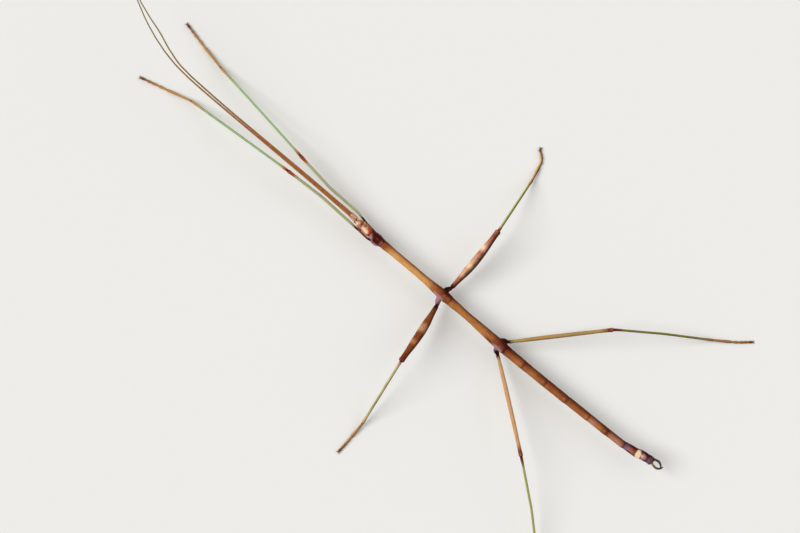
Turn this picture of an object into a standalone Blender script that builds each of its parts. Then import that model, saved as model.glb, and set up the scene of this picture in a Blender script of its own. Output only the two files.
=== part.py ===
"""Northern walkingstick, adult male: a still, life-size model with one object per body part.

The head points along -Y and the insect's left side along +X. It stands with small flats
under its feet on the floor at z = 0. The driving dimensions are in millimetres and degrees,
in a working frame with its origin on the floor below the middle hips; the meshes are in
metres. Last, the whole model is moved so that its box stands centred on the origin.
"""

import math

import bmesh
import bpy
from mathutils import Vector

MM = 0.001
UP = Vector((0, 0, 1))
SIDES = {"right": -1, "left": 1}

COLLECTION_NAME = "stick_insect"
HELPERS_NAME = "stick_insect_helpers"

JOINT_GAP = 0.10  # clear space that neighbouring solids keep
WELD = 0.00001  # metres, closes the caps of tubes

# Trunk centre line: distance towards the tail, sideways place, height.
TRUNK_LINE = (
    (-23.0, -0.36, 3.60),
    (-17.8, -0.12, 3.50),
    (-8.0, -0.12, 3.40),
    (0.0, 0.00, 3.40),
    (8.0, 0.15, 3.35),
    (15.4, 0.37, 3.30),
    (25.0, 0.31, 3.20),
    (35.0, 0.07, 3.20),
    (44.0, -0.18, 3.45),
    (46.8, -0.62, 3.75),
    (49.0, -1.08, 3.95),
    (51.0, -1.20, 4.00),
    (53.0, -1.15, 4.00),
)
NECK = -17.8  # where the head meets the thorax

# Sections of a trunk part: share of its length, width, height, lift of the section's centre.
HEAD_LENGTH = 3.5
HEAD_SECTIONS = (
    (0.00, 1.35, 1.15, 0.00),
    (0.10, 1.62, 1.38, 0.02),
    (0.30, 1.84, 1.50, 0.04),
    (0.55, 1.90, 1.52, 0.05),
    (0.75, 1.74, 1.28, 0.10),
    (0.90, 1.34, 0.92, 0.18),
    (1.00, 0.90, 0.56, 0.22),
)
PROTHORAX_LENGTH = 2.9
PROTHORAX_SECTIONS = (
    (0.00, 1.35, 1.20, 0.00),
    (0.12, 1.62, 1.40, 0.00),
    (0.38, 1.50, 1.32, 0.00),
    (0.62, 1.60, 1.42, 0.00),
    (0.88, 1.74, 1.50, 0.00),
    (1.00, 1.55, 1.36, 0.00),
)
MESOTHORAX_LENGTH = 16.6
MESOTHORAX_SECTIONS = (
    (0.00, 1.55, 1.38, 0.00),
    (0.03, 1.70, 1.50, 0.00),
    (0.12, 1.48, 1.36, 0.00),
    (0.45, 1.44, 1.32, 0.00),
    (0.66, 1.48, 1.36, 0.00),
    (0.74, 1.64, 1.42, 0.00),
    (0.82, 1.88, 1.50, 0.00),
    (0.90, 2.02, 1.58, 0.00),
    (0.95, 2.02, 1.58, 0.00),
    (1.00, 1.80, 1.44, 0.00),
)
METATHORAX_LENGTH = 13.7
METATHORAX_SECTIONS = (
    (0.00, 1.74, 1.42, 0.00),
    (0.04, 1.80, 1.46, 0.00),
    (0.14, 1.64, 1.38, 0.00),
    (0.26, 1.50, 1.34, 0.00),
    (0.38, 1.52, 1.35, 0.00),
    (0.52, 1.68, 1.40, 0.00),
    (0.66, 1.84, 1.46, 0.00),
    (0.80, 1.98, 1.52, 0.00),
    (0.92, 2.08, 1.60, 0.00),
    (1.00, 1.90, 1.52, 0.00),
)
# Abdomen segments 2 to 7: length and width; they share one telescoping profile.
RING_SEGMENTS = ((4.6, 1.90), (5.3, 1.78), (5.1, 1.76), (5.2, 1.68), (4.5, 1.58), (3.9, 1.50))
RING_PROFILE = ((0.00, 0.93), (0.10, 1.00), (0.50, 0.95), (0.90, 1.00), (1.00, 0.93))
RING_FLATNESS = 0.90  # height over width
# Segments 8 to 10 carry the mating organs and have their own sections.
TAIL_SEGMENTS = (
    (2.8, ((0.00, 1.42, 1.28, 0.0), (0.35, 1.50, 1.32, 0.0), (0.85, 1.74, 1.40, 0.0),
           (1.00, 1.70, 1.34, 0.04))),
    (2.2, ((0.00, 1.72, 1.22, 0.12), (0.30, 1.86, 1.24, 0.16), (0.75, 1.80, 1.20, 0.16),
           (1.00, 1.56, 1.10, 0.12))),
    (1.2, ((0.00, 1.50, 1.10, 0.10), (0.50, 1.50, 1.04, 0.08), (1.00, 1.34, 0.84, 0.06))),
)
TRUNK_SIDES = 14

# Plate under segment 9: start along the trunk, length, sections.
GENITAL_PLATE_START = 46.95
GENITAL_PLATE_LENGTH = 2.2
GENITAL_PLATE_SECTIONS = (
    (0.00, 0.90, 0.34, -0.94),
    (0.35, 1.30, 0.50, -0.88),
    (0.75, 1.20, 0.46, -0.84),
    (1.00, 0.60, 0.30, -0.78),
)
PLATE_SIDES = 10

# Claspers, in the tail's own frame: outwards, along, up, radius.
CERCUS_LINE = (
    (0.42, 0.00, 0.00, 0.20),
    (0.72, 0.42, 0.02, 0.21),
    (0.74, 0.92, 0.03, 0.20),
    (0.34, 1.44, 0.00, 0.18),
    (-0.12, 1.68, -0.02, 0.16),
    (-0.46, 1.78, -0.03, 0.12),
)
CERCUS_REACH = {"right": 1.0, "left": 1.12}  # the left one is drawn out and passes over the right
CERCUS_LIFT = {"right": -0.20, "left": 0.20}

# Eyes, from the head's centre line.
EYE_SHARE = 0.56  # of the head's length, from the neck
EYE_OUT = 0.87
EYE_UP = 0.20
EYE_RADII = (0.29, 0.36, 0.34)
EYE_SEGMENTS, EYE_RINGS = 12, 8

# Mouthparts below the front of the head: share, width, height, lift; then the palps.
MOUTH_START = -20.5
MOUTH_LENGTH = 1.25
MOUTH_SECTIONS = (
    (0.00, 0.74, 0.34, -0.86),
    (0.40, 0.98, 0.50, -0.70),
    (0.80, 0.84, 0.46, -0.52),
    (1.00, 0.46, 0.26, -0.44),
)
PALP_LINE = ((0.22, -20.9, 2.86), (0.34, -21.3, 2.62), (0.36, -21.7, 2.44), (0.30, -22.0, 2.38))
PALP_RADIUS = 0.13

# Feelers: mid-line between the two as distance towards the tail, sideways place, height,
# half the spread of the pair.
FEELER_LINE = (
    (-21.3, -0.33, 3.72, 0.30),
    (-22.8, -0.36, 4.02, 0.32),
    (-25.0, -0.31, 4.39, 0.30),
    (-33.0, -0.13, 5.75, 0.30),
    (-42.5, 0.20, 7.40, 0.30),
    (-52.5, 0.54, 9.10, 0.31),
    (-58.5, 0.64, 10.05, 0.36),
    (-62.5, 0.60, 10.66, 0.38),
    (-66.0, 0.26, 11.20, 0.44),
    (-69.0, -0.62, 11.62, 0.66),
    (-72.5, -1.78, 12.10, 0.74),
    (-75.5, -2.75, 12.50, 0.45),
    (-78.0, -3.95, 12.80, 0.33),
    (-80.6, -5.30, 13.10, 0.33),
)
# Feeler parts: name, start and end on the feeler line, radius at each end.
FEELER_PARTS = (
    ("scape", -21.50, -22.85, 0.27, 0.27),
    ("base", -22.85, -42.00, 0.25, 0.25),
    ("middle", -42.00, -61.50, 0.25, 0.25),
    ("tip", -61.50, -80.60, 0.25, 0.25),
)
FEELER_STEP = 3.2

# Legs. Root and hip are outwards, distance towards the tail and height, from the trunk line.
COXA = {
    "fore": ((1.00, -15.80, 2.78), (1.00, -16.95, 2.85)),
    "mid": ((1.18, -0.10, 3.02), (2.20, 0.40, 2.90)),
    "hind": ((1.20, 14.30, 2.98), (1.58, 15.05, 2.90)),
}
COXA_RADII = {
    "fore": ((0.0, 0.28), (0.4, 0.31), (1.0, 0.26)),
    "mid": ((0.0, 0.42), (0.4, 0.42), (1.0, 0.30)),
    "hind": ((0.0, 0.40), (0.4, 0.41), (1.0, 0.30)),
}
FEMUR_LENGTH = {"fore": 20.3, "mid": 13.9, "hind": 19.95}
TIBIA_LENGTH = {"fore": 23.3, "mid": 14.25, "hind": 20.8}
TARSUS_LENGTH = {"fore": 10.4, "mid": 6.7, "hind": 8.1}
FEMUR_RADII = {
    "fore": ((0.0, 0.25), (0.03, 0.29), (0.06, 0.25), (0.25, 0.28), (0.60, 0.30),
             (0.92, 0.28), (0.965, 0.33), (1.0, 0.27)),
    "mid": ((0.0, 0.34), (0.045, 0.42), (0.10, 0.46), (0.17, 0.58), (0.25, 0.72), (0.34, 0.83),
            (0.46, 0.86), (0.58, 0.81), (0.70, 0.75), (0.80, 0.64), (0.88, 0.58), (0.955, 0.57),
            (1.0, 0.40)),
    "hind": ((0.0, 0.26), (0.03, 0.31), (0.06, 0.27), (0.16, 0.38), (0.36, 0.43), (0.65, 0.41),
             (0.88, 0.36), (0.955, 0.40), (1.0, 0.29)),
}
TIBIA_RADII = ((0.0, 0.25), (0.03, 0.29), (0.09, 0.25), (0.5, 0.25), (0.91, 0.25), (0.97, 0.29),
               (1.0, 0.25))
# Bows of femora and tibiae: share of the length, offset outwards (ahead, on a leg that points
# straight out), offset upwards. The fore femora curve round the head.
FEMUR_BOW = {
    ("fore", "right"): ((0.0, 0.0, 0.0), (0.12, 0.34, -0.22), (0.26, 0.26, -0.24),
                        (0.6, -0.30, 0.0), (1.0, 0.0, 0.0)),
    ("fore", "left"): ((0.0, 0.0, 0.0), (0.12, 0.02, -0.20), (0.25, -0.24, -0.24),
                       (0.5, -0.45, -0.05), (0.74, -0.30, 0.0), (1.0, 0.0, 0.0)),
    ("mid", "right"): ((0.0, 0.0, 0.0), (0.5, 0.26, 0.10), (1.0, 0.0, 0.0)),
    ("mid", "left"): ((0.0, 0.0, 0.0), (0.5, -0.20, 0.10), (1.0, 0.0, 0.0)),
    ("hind", "right"): ((0.0, 0.0, 0.0), (0.5, 0.0, 0.25), (1.0, 0.0, 0.0)),
    ("hind", "left"): ((0.0, 0.0, 0.0), (0.5, 0.0, 0.25), (1.0, 0.0, 0.0)),
}
TIBIA_BOW = {
    ("fore", "right"): ((0.0, 0.0, 0.0), (0.5, 0.0, 0.2), (1.0, 0.0, 0.0)),
    ("fore", "left"): ((0.0, 0.0, 0.0), (0.5, 0.0, 0.2), (1.0, 0.0, 0.0)),
    ("mid", "right"): ((0.0, 0.0, 0.0), (0.5, 0.0, 0.1), (1.0, 0.0, 0.0)),
    ("mid", "left"): ((0.0, 0.0, 0.0), (0.5, 0.0, 0.1), (1.0, 0.0, 0.0)),
    ("hind", "right"): ((0.0, 0.0, 0.0), (0.4, 0.1, 0.8), (1.0, 0.0, 0.0)),
    ("hind", "left"): ((0.0, 0.0, 0.0), (0.4, -0.25, 0.8), (1.0, 0.0, 0.0)),
}
# Pose of each leg: knee height, then the headings of femur, tibia, tarsus and toe,
# from straight ahead (0) over straight out (90) to straight back (180).
LEG_POSES = {
    ("fore", "right"): (4.4, 4.6, 10.0, 13.3, 13.5),
    ("fore", "left"): (5.8, 1.2, 1.4, 14.6, 15.5),
    ("mid", "right"): (6.0, 89.6, 85.2, 79.0, 38.0),
    ("mid", "left"): (7.1, 95.7, 99.2, 90.0, 88.0),
    ("hind", "right"): (5.4, 133.9, 143.6, 144.0, 138.0),
    ("hind", "left"): (6.6, 139.8, 141.2, 141.0, 136.0),
}
ANKLE_HEIGHT = 0.75
# Tarsus: share of its length, height of its centre line, and where it turns to the toe's heading.
TARSUS_HEIGHTS = ((0.0, ANKLE_HEIGHT), (0.25, 0.52), (0.48, 0.30), (0.7, 0.25), (1.0, 0.24))
TARSUS_TURN = (0.50, 0.85)
TARSOMERES = (0.0, 0.48, 0.64, 0.77, 0.87, 1.0)
TARSOMERE_RADII = ((0.04, 0.24), (0.70, 0.25), (0.94, 0.29))
TARSOMERE_WAIST = 0.23
LEG_RESOLUTION = {"coxa": 3, "femur": 3, "tibia": 2, "tarsus": 2}

# Claws, in the toe's frame: ahead, outwards, up, radius; and the pad between them.
CLAW_LINE = (
    (0.10, 0.05, 0.20, 0.12),
    (0.30, 0.20, 0.27, 0.11),
    (0.50, 0.30, 0.20, 0.08),
    (0.58, 0.32, 0.09, 0.05),
)
PAD_CENTRE = (0.20, 0.0, 0.17)
PAD_RADII = (0.22, 0.24, 0.20)
PAD_SEGMENTS, PAD_RINGS = 10, 6

# Colours (linear RGB), roughness of the cuticle finishes.
FINISHES = {
    "cuticle_tan": ((0.46, 0.20, 0.07), 0.45),
    "cuticle_brown": ((0.26, 0.08, 0.03), 0.45),
    "cuticle_maroon": ((0.10, 0.018, 0.014), 0.40),
    "cuticle_pink": ((0.48, 0.24, 0.15), 0.45),
    "cuticle_plum": ((0.16, 0.06, 0.06), 0.35),
    "leg_green": ((0.33, 0.44, 0.17), 0.50),
    "leg_olive": ((0.26, 0.25, 0.06), 0.50),
    "leg_orange": ((0.44, 0.20, 0.08), 0.50),
    "leg_pink": ((0.36, 0.13, 0.08), 0.45),
    "feeler_brown": ((0.23, 0.09, 0.035), 0.55),
    "eye_dark": ((0.035, 0.015, 0.012), 0.15),
    "claw_brown": ((0.10, 0.035, 0.015), 0.30),
}


def smooth(knots, at):
    """Values of a smooth curve through knots (place, value, ...), as a list without the place."""
    last = len(knots) - 1
    step = 1 if knots[-1][0] > knots[0][0] else -1
    i = 0
    while i < last - 1 and (at - knots[i + 1][0]) * step > 0:
        i += 1

    def slope(k, column):
        low, high = knots[max(k - 1, 0)], knots[min(k + 1, last)]
        return (high[column] - low[column]) / (high[0] - low[0])

    start, end = knots[i], knots[i + 1]
    span = end[0] - start[0]
    t = min(max((at - start[0]) / span, 0.0), 1.0)
    values = []
    for column in range(1, len(start)):
        rise = end[column] - start[column]
        left, right = slope(i, column) * span, slope(i + 1, column) * span
        values.append(
            start[column] + t * left
            + t * t * (3 * rise - 2 * left - right)
            + t * t * t * (left + right - 2 * rise)
        )
    return values


def trunk_point(y):
    x, z = smooth(TRUNK_LINE, y)
    return Vector((x, y, z))


def trunk_direction(y):
    return (trunk_point(y + 0.2) - trunk_point(y - 0.2)).normalized()


def heading_vector(side, heading):
    """Level unit vector for a heading from straight ahead (0) to straight back (180)."""
    turn = math.radians(heading)
    return Vector((side * math.sin(turn), -math.cos(turn), 0))


def clear_scene():
    for obj in list(bpy.data.objects):
        bpy.data.objects.remove(obj, do_unlink=True)


def make_collection(name):
    collection = bpy.data.collections.new(name)
    bpy.context.scene.collection.children.link(collection)
    return collection


def make_materials():
    made = {}
    for name, (colour, roughness) in FINISHES.items():
        material = bpy.data.materials.new(name)
        material.use_nodes = True
        shader = material.node_tree.nodes["Principled BSDF"]
        shader.inputs["Base Color"].default_value = (*colour, 1.0)
        shader.inputs["Roughness"].default_value = roughness
        shader.inputs["Metallic"].default_value = 0.0
        material.diffuse_color = (*colour, 1.0)
        made[name] = material
    return made


def object_from_bmesh(name, mesh_maker, collection):
    """New object at the origin from a filled bmesh, whose points are in metres."""
    bmesh.ops.recalc_face_normals(mesh_maker, faces=mesh_maker.faces)
    mesh = bpy.data.meshes.new(name)
    mesh_maker.to_mesh(mesh)
    mesh_maker.free()
    obj = bpy.data.objects.new(name, mesh)
    collection.objects.link(obj)
    return obj


def finish_part(obj, material):
    obj.data.materials.clear()
    obj.data.materials.append(material)
    obj.data.shade_smooth()
    obj.data.set_sharp_from_angle(angle=math.radians(50))
    return obj


def ellipse(centre, ahead, width, height, sides):
    """Points of an ellipse square to the direction ahead, with its height kept upright."""
    across = ahead.cross(UP).normalized()
    upward = across.cross(ahead).normalized()
    points = []
    for k in range(sides):
        angle = 2 * math.pi * (k + 0.5) / sides
        points.append(
            centre
            + across * (0.5 * width * math.cos(angle))
            + upward * (0.5 * height * math.sin(angle))
        )
    return points


def loft(name, rings, collection):
    """Closed body through rings of equally many points, in millimetres."""
    made = bmesh.new()
    rows = [[made.verts.new(point * MM) for point in ring] for ring in rings]
    count = len(rows[0])
    for low, high in zip(rows[:-1], rows[1:]):
        for k in range(count):
            made.faces.new((low[k], low[(k + 1) % count], high[(k + 1) % count], high[k]))
    made.faces.new(rows[0])
    made.faces.new(rows[-1])
    return object_from_bmesh(name, made, collection)


def trunk_part(name, start, end, sections, collection, sides=TRUNK_SIDES):
    """Loft along the trunk from start to end, half a gap short of its neighbours."""
    way = 1 if end > start else -1
    first = start + way * JOINT_GAP / 2
    length = abs(end - start) - JOINT_GAP
    rings = []
    for share, width, height, lift in sections:
        y = first + way * share * length
        centre = trunk_point(y) + UP * lift
        rings.append(ellipse(centre, trunk_direction(y), width, height, sides))
    return loft(name, rings, collection)


def tube(name, points, radii, resolution, collection):
    """Closed mesh of a tapered tube through points, from a poly curve with filled caps."""
    curve = bpy.data.curves.new(name + "_curve", "CURVE")
    curve.dimensions = "3D"
    curve.bevel_depth = MM
    curve.bevel_resolution = resolution
    curve.use_fill_caps = True
    spline = curve.splines.new("POLY")
    spline.points.add(len(points) - 1)
    for slot, point, radius in zip(spline.points, points, radii):
        slot.co = (*(point * MM), 1.0)
        slot.radius = radius
    guide = bpy.data.objects.new(name + "_curve", curve)
    bpy.context.scene.collection.objects.link(guide)
    evaluated = guide.evaluated_get(bpy.context.evaluated_depsgraph_get())
    mesh = bpy.data.meshes.new_from_object(evaluated)
    made = bmesh.new()
    made.from_mesh(mesh)
    made.transform(guide.matrix_world)
    bmesh.ops.remove_doubles(made, verts=made.verts, dist=WELD)
    bpy.data.meshes.remove(mesh)
    bpy.data.objects.remove(guide, do_unlink=True)
    bpy.data.curves.remove(curve)
    return object_from_bmesh(name, made, collection)


def ball(name, centre, radii, segments, rings, collection):
    """Ellipsoid with its centre and its three radii in millimetres."""
    made = bmesh.new()
    bmesh.ops.create_uvsphere(made, u_segments=segments, v_segments=rings, radius=1.0)
    bmesh.ops.scale(made, vec=Vector(radii) * MM, verts=made.verts)
    bmesh.ops.translate(made, vec=centre * MM, verts=made.verts)
    return object_from_bmesh(name, made, collection)


def baked(obj, collection):
    """The object as its modifiers show it, as a plain mesh object of the same name."""
    evaluated = obj.evaluated_get(bpy.context.evaluated_depsgraph_get())
    mesh = bpy.data.meshes.new_from_object(evaluated)
    name = obj.name
    bpy.data.objects.remove(obj, do_unlink=True)
    mesh.name = name
    solid = bpy.data.objects.new(name, mesh)
    collection.objects.link(solid)
    return solid


def combine(obj, others, operation, collection):
    """EXACT Boolean of the object with helpers, which are used up."""
    for other in others:
        modifier = obj.modifiers.new(operation.lower(), "BOOLEAN")
        modifier.operation = operation
        modifier.solver = "EXACT"
        modifier.object = other
    solid = baked(obj, collection)
    for other in others:
        bpy.data.objects.remove(other, do_unlink=True)
    return solid


def stand_on_floor(obj):
    """Cuts away what reaches below the floor and closes the cut with flats."""
    made = bmesh.new()
    made.from_mesh(obj.data)
    everything = made.verts[:] + made.edges[:] + made.faces[:]
    bmesh.ops.bisect_plane(
        made, geom=everything, dist=WELD * 0.1, plane_co=(0, 0, 0), plane_no=(0, 0, -1),
        clear_outer=True,
    )
    rim = [edge for edge in made.edges if edge.is_boundary]
    bmesh.ops.holes_fill(made, edges=rim)
    bmesh.ops.recalc_face_normals(made, faces=made.faces)
    made.to_mesh(obj.data)
    made.free()


def head_place(share):
    return NECK - share * HEAD_LENGTH


def build_eyes(model, helpers, materials):
    """Both eyes, and the cutters for their sockets."""
    y = head_place(EYE_SHARE)
    cutters = []
    for side_name, side in SIDES.items():
        centre = trunk_point(y) + Vector((side * EYE_OUT, 0, EYE_UP))
        eye = ball("eye_" + side_name, centre, EYE_RADII, EYE_SEGMENTS, EYE_RINGS, model)
        finish_part(eye, materials["eye_dark"])
        socket_radii = [radius + JOINT_GAP for radius in EYE_RADII]
        cutter = ball("socket_" + side_name, centre, socket_radii, EYE_SEGMENTS, EYE_RINGS, helpers)
        cutters.append(cutter)
    return cutters


def build_head(model, helpers, materials):
    head = trunk_part("head", NECK, head_place(1), HEAD_SECTIONS, model)
    sockets = build_eyes(model, helpers, materials)
    head = combine(head, sockets, "DIFFERENCE", model)
    finish_part(head, materials["cuticle_pink"])


def build_mouthparts(model, helpers, materials):
    """Lip and jaws below the front of the head, in one with the pair of palps."""
    end = MOUTH_START - MOUTH_LENGTH
    lip = trunk_part("mouthparts", MOUTH_START, end, MOUTH_SECTIONS, model, PLATE_SIDES)
    palps = []
    for side_name, side in SIDES.items():
        points = []
        for out, y, z in PALP_LINE:
            points.append(Vector((trunk_point(y).x + side * out, y, z)))
        radii = [PALP_RADIUS] * len(points)
        palps.append(tube("palp_" + side_name, points, radii, 2, helpers))
    lip = combine(lip, palps, "UNION", model)
    finish_part(lip, materials["cuticle_plum"])


def build_thorax(model, materials):
    """Three thorax parts; returns where the abdomen starts."""
    parts = (
        ("prothorax", PROTHORAX_LENGTH, PROTHORAX_SECTIONS, "cuticle_maroon"),
        ("mesothorax", MESOTHORAX_LENGTH, MESOTHORAX_SECTIONS, "cuticle_tan"),
        ("metathorax", METATHORAX_LENGTH, METATHORAX_SECTIONS, "cuticle_brown"),
    )
    start = NECK
    for name, length, sections, finish in parts:
        part = trunk_part(name, start, start + length, sections, model)
        finish_part(part, materials[finish])
        start += length
    return start


def build_abdomen(start, model, materials):
    """Segments 2 to 10; returns where the tail ends."""
    segments = []
    for length, width in RING_SEGMENTS:
        sections = []
        for share, scale in RING_PROFILE:
            sections.append((share, width * scale, width * scale * RING_FLATNESS, 0.0))
        segments.append((length, sections, "cuticle_brown"))
    for length, sections in TAIL_SEGMENTS:
        segments.append((length, sections, "cuticle_plum"))
    for number, (length, sections, finish) in enumerate(segments, start=2):
        part = trunk_part(f"abdomen_{number}", start, start + length, sections, model)
        finish_part(part, materials[finish])
        start += length
    return start


def build_genital_plate(model, materials):
    end = GENITAL_PLATE_START + GENITAL_PLATE_LENGTH
    plate = trunk_part(
        "subgenital_plate", GENITAL_PLATE_START, end, GENITAL_PLATE_SECTIONS, model, PLATE_SIDES
    )
    finish_part(plate, materials["cuticle_plum"])


def build_cerci(tail_end, model, materials):
    """The pair of claspers, bowed out and crossed at their tips."""
    base = trunk_point(tail_end)
    along = trunk_direction(tail_end)
    across = along.cross(UP).normalized()
    for side_name, side in SIDES.items():
        points, radii = [], []
        last = len(CERCUS_LINE) - 1
        for k, (out, ahead, up, radius) in enumerate(CERCUS_LINE):
            share = k / last
            reach = ahead * (1 + share * (CERCUS_REACH[side_name] - 1)) + JOINT_GAP
            lift = up + CERCUS_LIFT[side_name] * min(1.0, 1.6 * share)
            points.append(base + across * (side * out) + along * reach + UP * lift)
            radii.append(radius)
        cercus = tube("cercus_" + side_name, points, radii, 3, model)
        finish_part(cercus, materials["claw_brown"])


def feeler_point(side, y):
    x, z, spread = smooth(FEELER_LINE, y)
    return Vector((x + side * spread, y, z))


def build_feelers(model, materials):
    """Each feeler in four lengths: the scape, then base, middle and tip of the thread."""
    for side_name, side in SIDES.items():
        for part_name, start, end, thick, thin in FEELER_PARTS:
            first, final = start - JOINT_GAP / 2, end + JOINT_GAP / 2
            steps = max(2, round(abs(final - first) / FEELER_STEP))
            points, radii = [], []
            for k in range(steps + 1):
                share = k / steps
                points.append(feeler_point(side, first + share * (final - first)))
                radii.append(thick + share * (thin - thick))
            feeler = tube(f"antenna_{side_name}_{part_name}", points, radii, 2, model)
            finish_part(feeler, materials["feeler_brown"])


def hip_point(side, place):
    out, y, z = place
    return Vector((trunk_point(y).x + side * out, y, z))


def limb_end(start, length, side, heading, end_height):
    """End of a straight limb of that length that finishes at that height."""
    rise = end_height - start.z
    level = math.sqrt(length * length - rise * rise)
    return start + heading_vector(side, heading) * level + UP * rise


def bowed_line(start, end, side, bow, shares):
    """Points between start and end, pushed outwards and upwards as bow says."""
    direction = (end - start).normalized()
    outward = direction.cross(UP).normalized()
    if outward.x * side < 0:
        outward = -outward
    points = []
    for share in shares:
        out, up = smooth(bow, share)
        points.append(start.lerp(end, share) + outward * out + UP * up)
    return points


def setback(before, after, radius):
    """How far from a bent joint a limb of that radius ends, to clear its neighbour."""
    bend = before.angle(after)
    return radius * math.tan(bend / 2) + JOINT_GAP / 2


def trimmed(points, start_cut, end_cut):
    """The line with its first and last point moved inwards by the cuts."""
    moved = list(points)
    moved[0] = points[0] + (points[1] - points[0]).normalized() * start_cut
    moved[-1] = points[-1] + (points[-2] - points[-1]).normalized() * end_cut
    return moved


def tarsus_line(ankle, length, side, heading, toe_heading, shares):
    """Points along the foot from the ankle, level headings eased from tarsus to toe."""
    steps = 60
    turn_start, turn_end = TARSUS_TURN
    line = [ankle.copy()]
    for k in range(steps):
        share = (k + 0.5) / steps
        ease = min(max((share - turn_start) / (turn_end - turn_start), 0.0), 1.0)
        ease = ease * ease * (3 - 2 * ease)
        step = heading_vector(side, heading + ease * (toe_heading - heading)) * (length / steps)
        following = line[-1] + step
        following.z = smooth(TARSUS_HEIGHTS, (k + 1) / steps)[0]
        line.append(following)
    points = []
    for share in shares:
        place = share * steps
        k = min(int(place), steps - 1)
        points.append(line[k].lerp(line[k + 1], place - k))
    return points


def tarsus_profile():
    """Shares along the foot and radii: five segments, each widening to its end."""
    profile = [(0.0, TARSOMERE_WAIST)]
    for low, high in zip(TARSOMERES[:-1], TARSOMERES[1:]):
        for share, radius in TARSOMERE_RADII:
            profile.append((low + share * (high - low), radius))
        profile.append((high, TARSOMERE_WAIST))
    return profile


def build_claws(name, toe, ahead, model, helpers, materials):
    """Pad and two hooked claws at the end of a foot, in one piece."""
    across = ahead.cross(UP).normalized()
    base = Vector((toe.x, toe.y, 0)) + ahead * JOINT_GAP
    place = Vector(PAD_CENTRE)
    centre = base + ahead * place.x + UP * place.z
    pad = ball(name, centre, PAD_RADII, PAD_SEGMENTS, PAD_RINGS, model)
    hooks = []
    for side_name, side in SIDES.items():
        points = []
        for forward, out, up, _ in CLAW_LINE:
            points.append(base + ahead * forward + across * (side * out) + UP * up)
        radii = [radius for *_, radius in CLAW_LINE]
        hooks.append(tube(f"{name}_hook_{side_name}", points, radii, 1, helpers))
    claws = combine(pad, hooks, "UNION", model)
    stand_on_floor(claws)
    finish_part(claws, materials["claw_brown"])


LEG_FINISHES = {
    ("fore", "femur"): "leg_green",
    ("fore", "tibia"): "leg_green",
    ("mid", "femur"): "leg_pink",
    ("mid", "tibia"): "leg_olive",
    ("hind", "femur"): "leg_orange",
    ("hind", "tibia"): "leg_olive",
}


def build_leg(pair, side_name, model, helpers, materials):
    """Coxa, femur with its trochanter, tibia, tarsus and claws of one leg."""
    side = SIDES[side_name]
    name = f"leg_{pair}_{side_name}_"
    knee_height, femur_heading, tibia_heading, tarsus_heading, toe_heading = LEG_POSES[
        (pair, side_name)
    ]
    root, hip = (hip_point(side, place) for place in COXA[pair])
    knee = limb_end(hip, FEMUR_LENGTH[pair], side, femur_heading, knee_height)
    ankle = limb_end(knee, TIBIA_LENGTH[pair], side, tibia_heading, ANKLE_HEIGHT)

    femur_radii = FEMUR_RADII[pair]
    femur = bowed_line(hip, knee, side, FEMUR_BOW[pair, side_name], [share for share, _ in femur_radii])
    tibia = bowed_line(knee, ankle, side, TIBIA_BOW[pair, side_name], [share for share, _ in TIBIA_RADII])
    profile = tarsus_profile()
    foot = tarsus_line(
        ankle, TARSUS_LENGTH[pair], side, tarsus_heading, toe_heading, [share for share, _ in profile]
    )

    coxa_line = [root.lerp(hip, share) for share, _ in COXA_RADII[pair]]
    hip_cut = setback(hip - root, femur[1] - femur[0], COXA_RADII[pair][-1][1])
    knee_cut = setback(femur[-1] - femur[-2], tibia[1] - tibia[0], femur_radii[-1][1])
    ankle_cut = setback(tibia[-1] - tibia[-2], foot[1] - foot[0], TIBIA_RADII[-1][1])
    parts = {
        "coxa": (trimmed(coxa_line, 0.0, hip_cut), COXA_RADII[pair]),
        "femur": (trimmed(femur, hip_cut, knee_cut), femur_radii),
        "tibia": (trimmed(tibia, knee_cut, ankle_cut), TIBIA_RADII),
        "tarsus": (trimmed(foot, ankle_cut, 0.0), profile),
    }
    for part_name, (line, radii) in parts.items():
        widths = [radius for _, radius in radii]
        solid = tube(name + part_name, line, widths, LEG_RESOLUTION[part_name], model)
        if part_name == "tarsus":
            stand_on_floor(solid)
        plain = "cuticle_maroon" if part_name == "coxa" else "cuticle_brown"
        finish_part(solid, materials[LEG_FINISHES.get((pair, part_name), plain)])
    build_claws(
        name + "claws", foot[-1], heading_vector(side, toe_heading), model, helpers, materials
    )


def centre_on_origin(model):
    """Moves every part, by one shared empty, so that the model's box stands on the origin."""
    bpy.context.view_layer.update()
    corners = []
    for obj in model.objects:
        corners.extend(obj.matrix_world @ vertex.co for vertex in obj.data.vertices)
    low = Vector(min(corner[axis] for corner in corners) for axis in range(3))
    high = Vector(max(corner[axis] for corner in corners) for axis in range(3))
    middle = (low + high) / 2
    stand = bpy.data.objects.new("stick_insect_origin", None)
    model.objects.link(stand)
    for obj in model.objects:
        if obj is not stand:
            obj.parent = stand
    stand.location = (-middle.x, -middle.y, -low.z)
    bpy.context.view_layer.update()


def main():
    clear_scene()
    model = make_collection(COLLECTION_NAME)
    helpers = make_collection(HELPERS_NAME)
    materials = make_materials()
    build_head(model, helpers, materials)
    build_mouthparts(model, helpers, materials)
    build_feelers(model, materials)
    abdomen_start = build_thorax(model, materials)
    tail_end = build_abdomen(abdomen_start, model, materials)
    build_genital_plate(model, materials)
    build_cerci(tail_end, model, materials)
    for pair, side_name in LEG_POSES:
        build_leg(pair, side_name, model, helpers, materials)
    centre_on_origin(model)


main()
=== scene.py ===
"""Northern walkingstick, adult male: a life-size still model on a plain studio floor.

One skin covers trunk, legs and feelers. Eyes, mouthparts, claspers and claws are pieces of
their own. Lengths inside the geometry code are in millimetres, the scene is in metres.
"""

import math

import bmesh
import bpy
import numpy as np
from bpy.props import FloatProperty, FloatVectorProperty, IntProperty, PointerProperty
from mathutils import Matrix, Vector, noise


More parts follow.
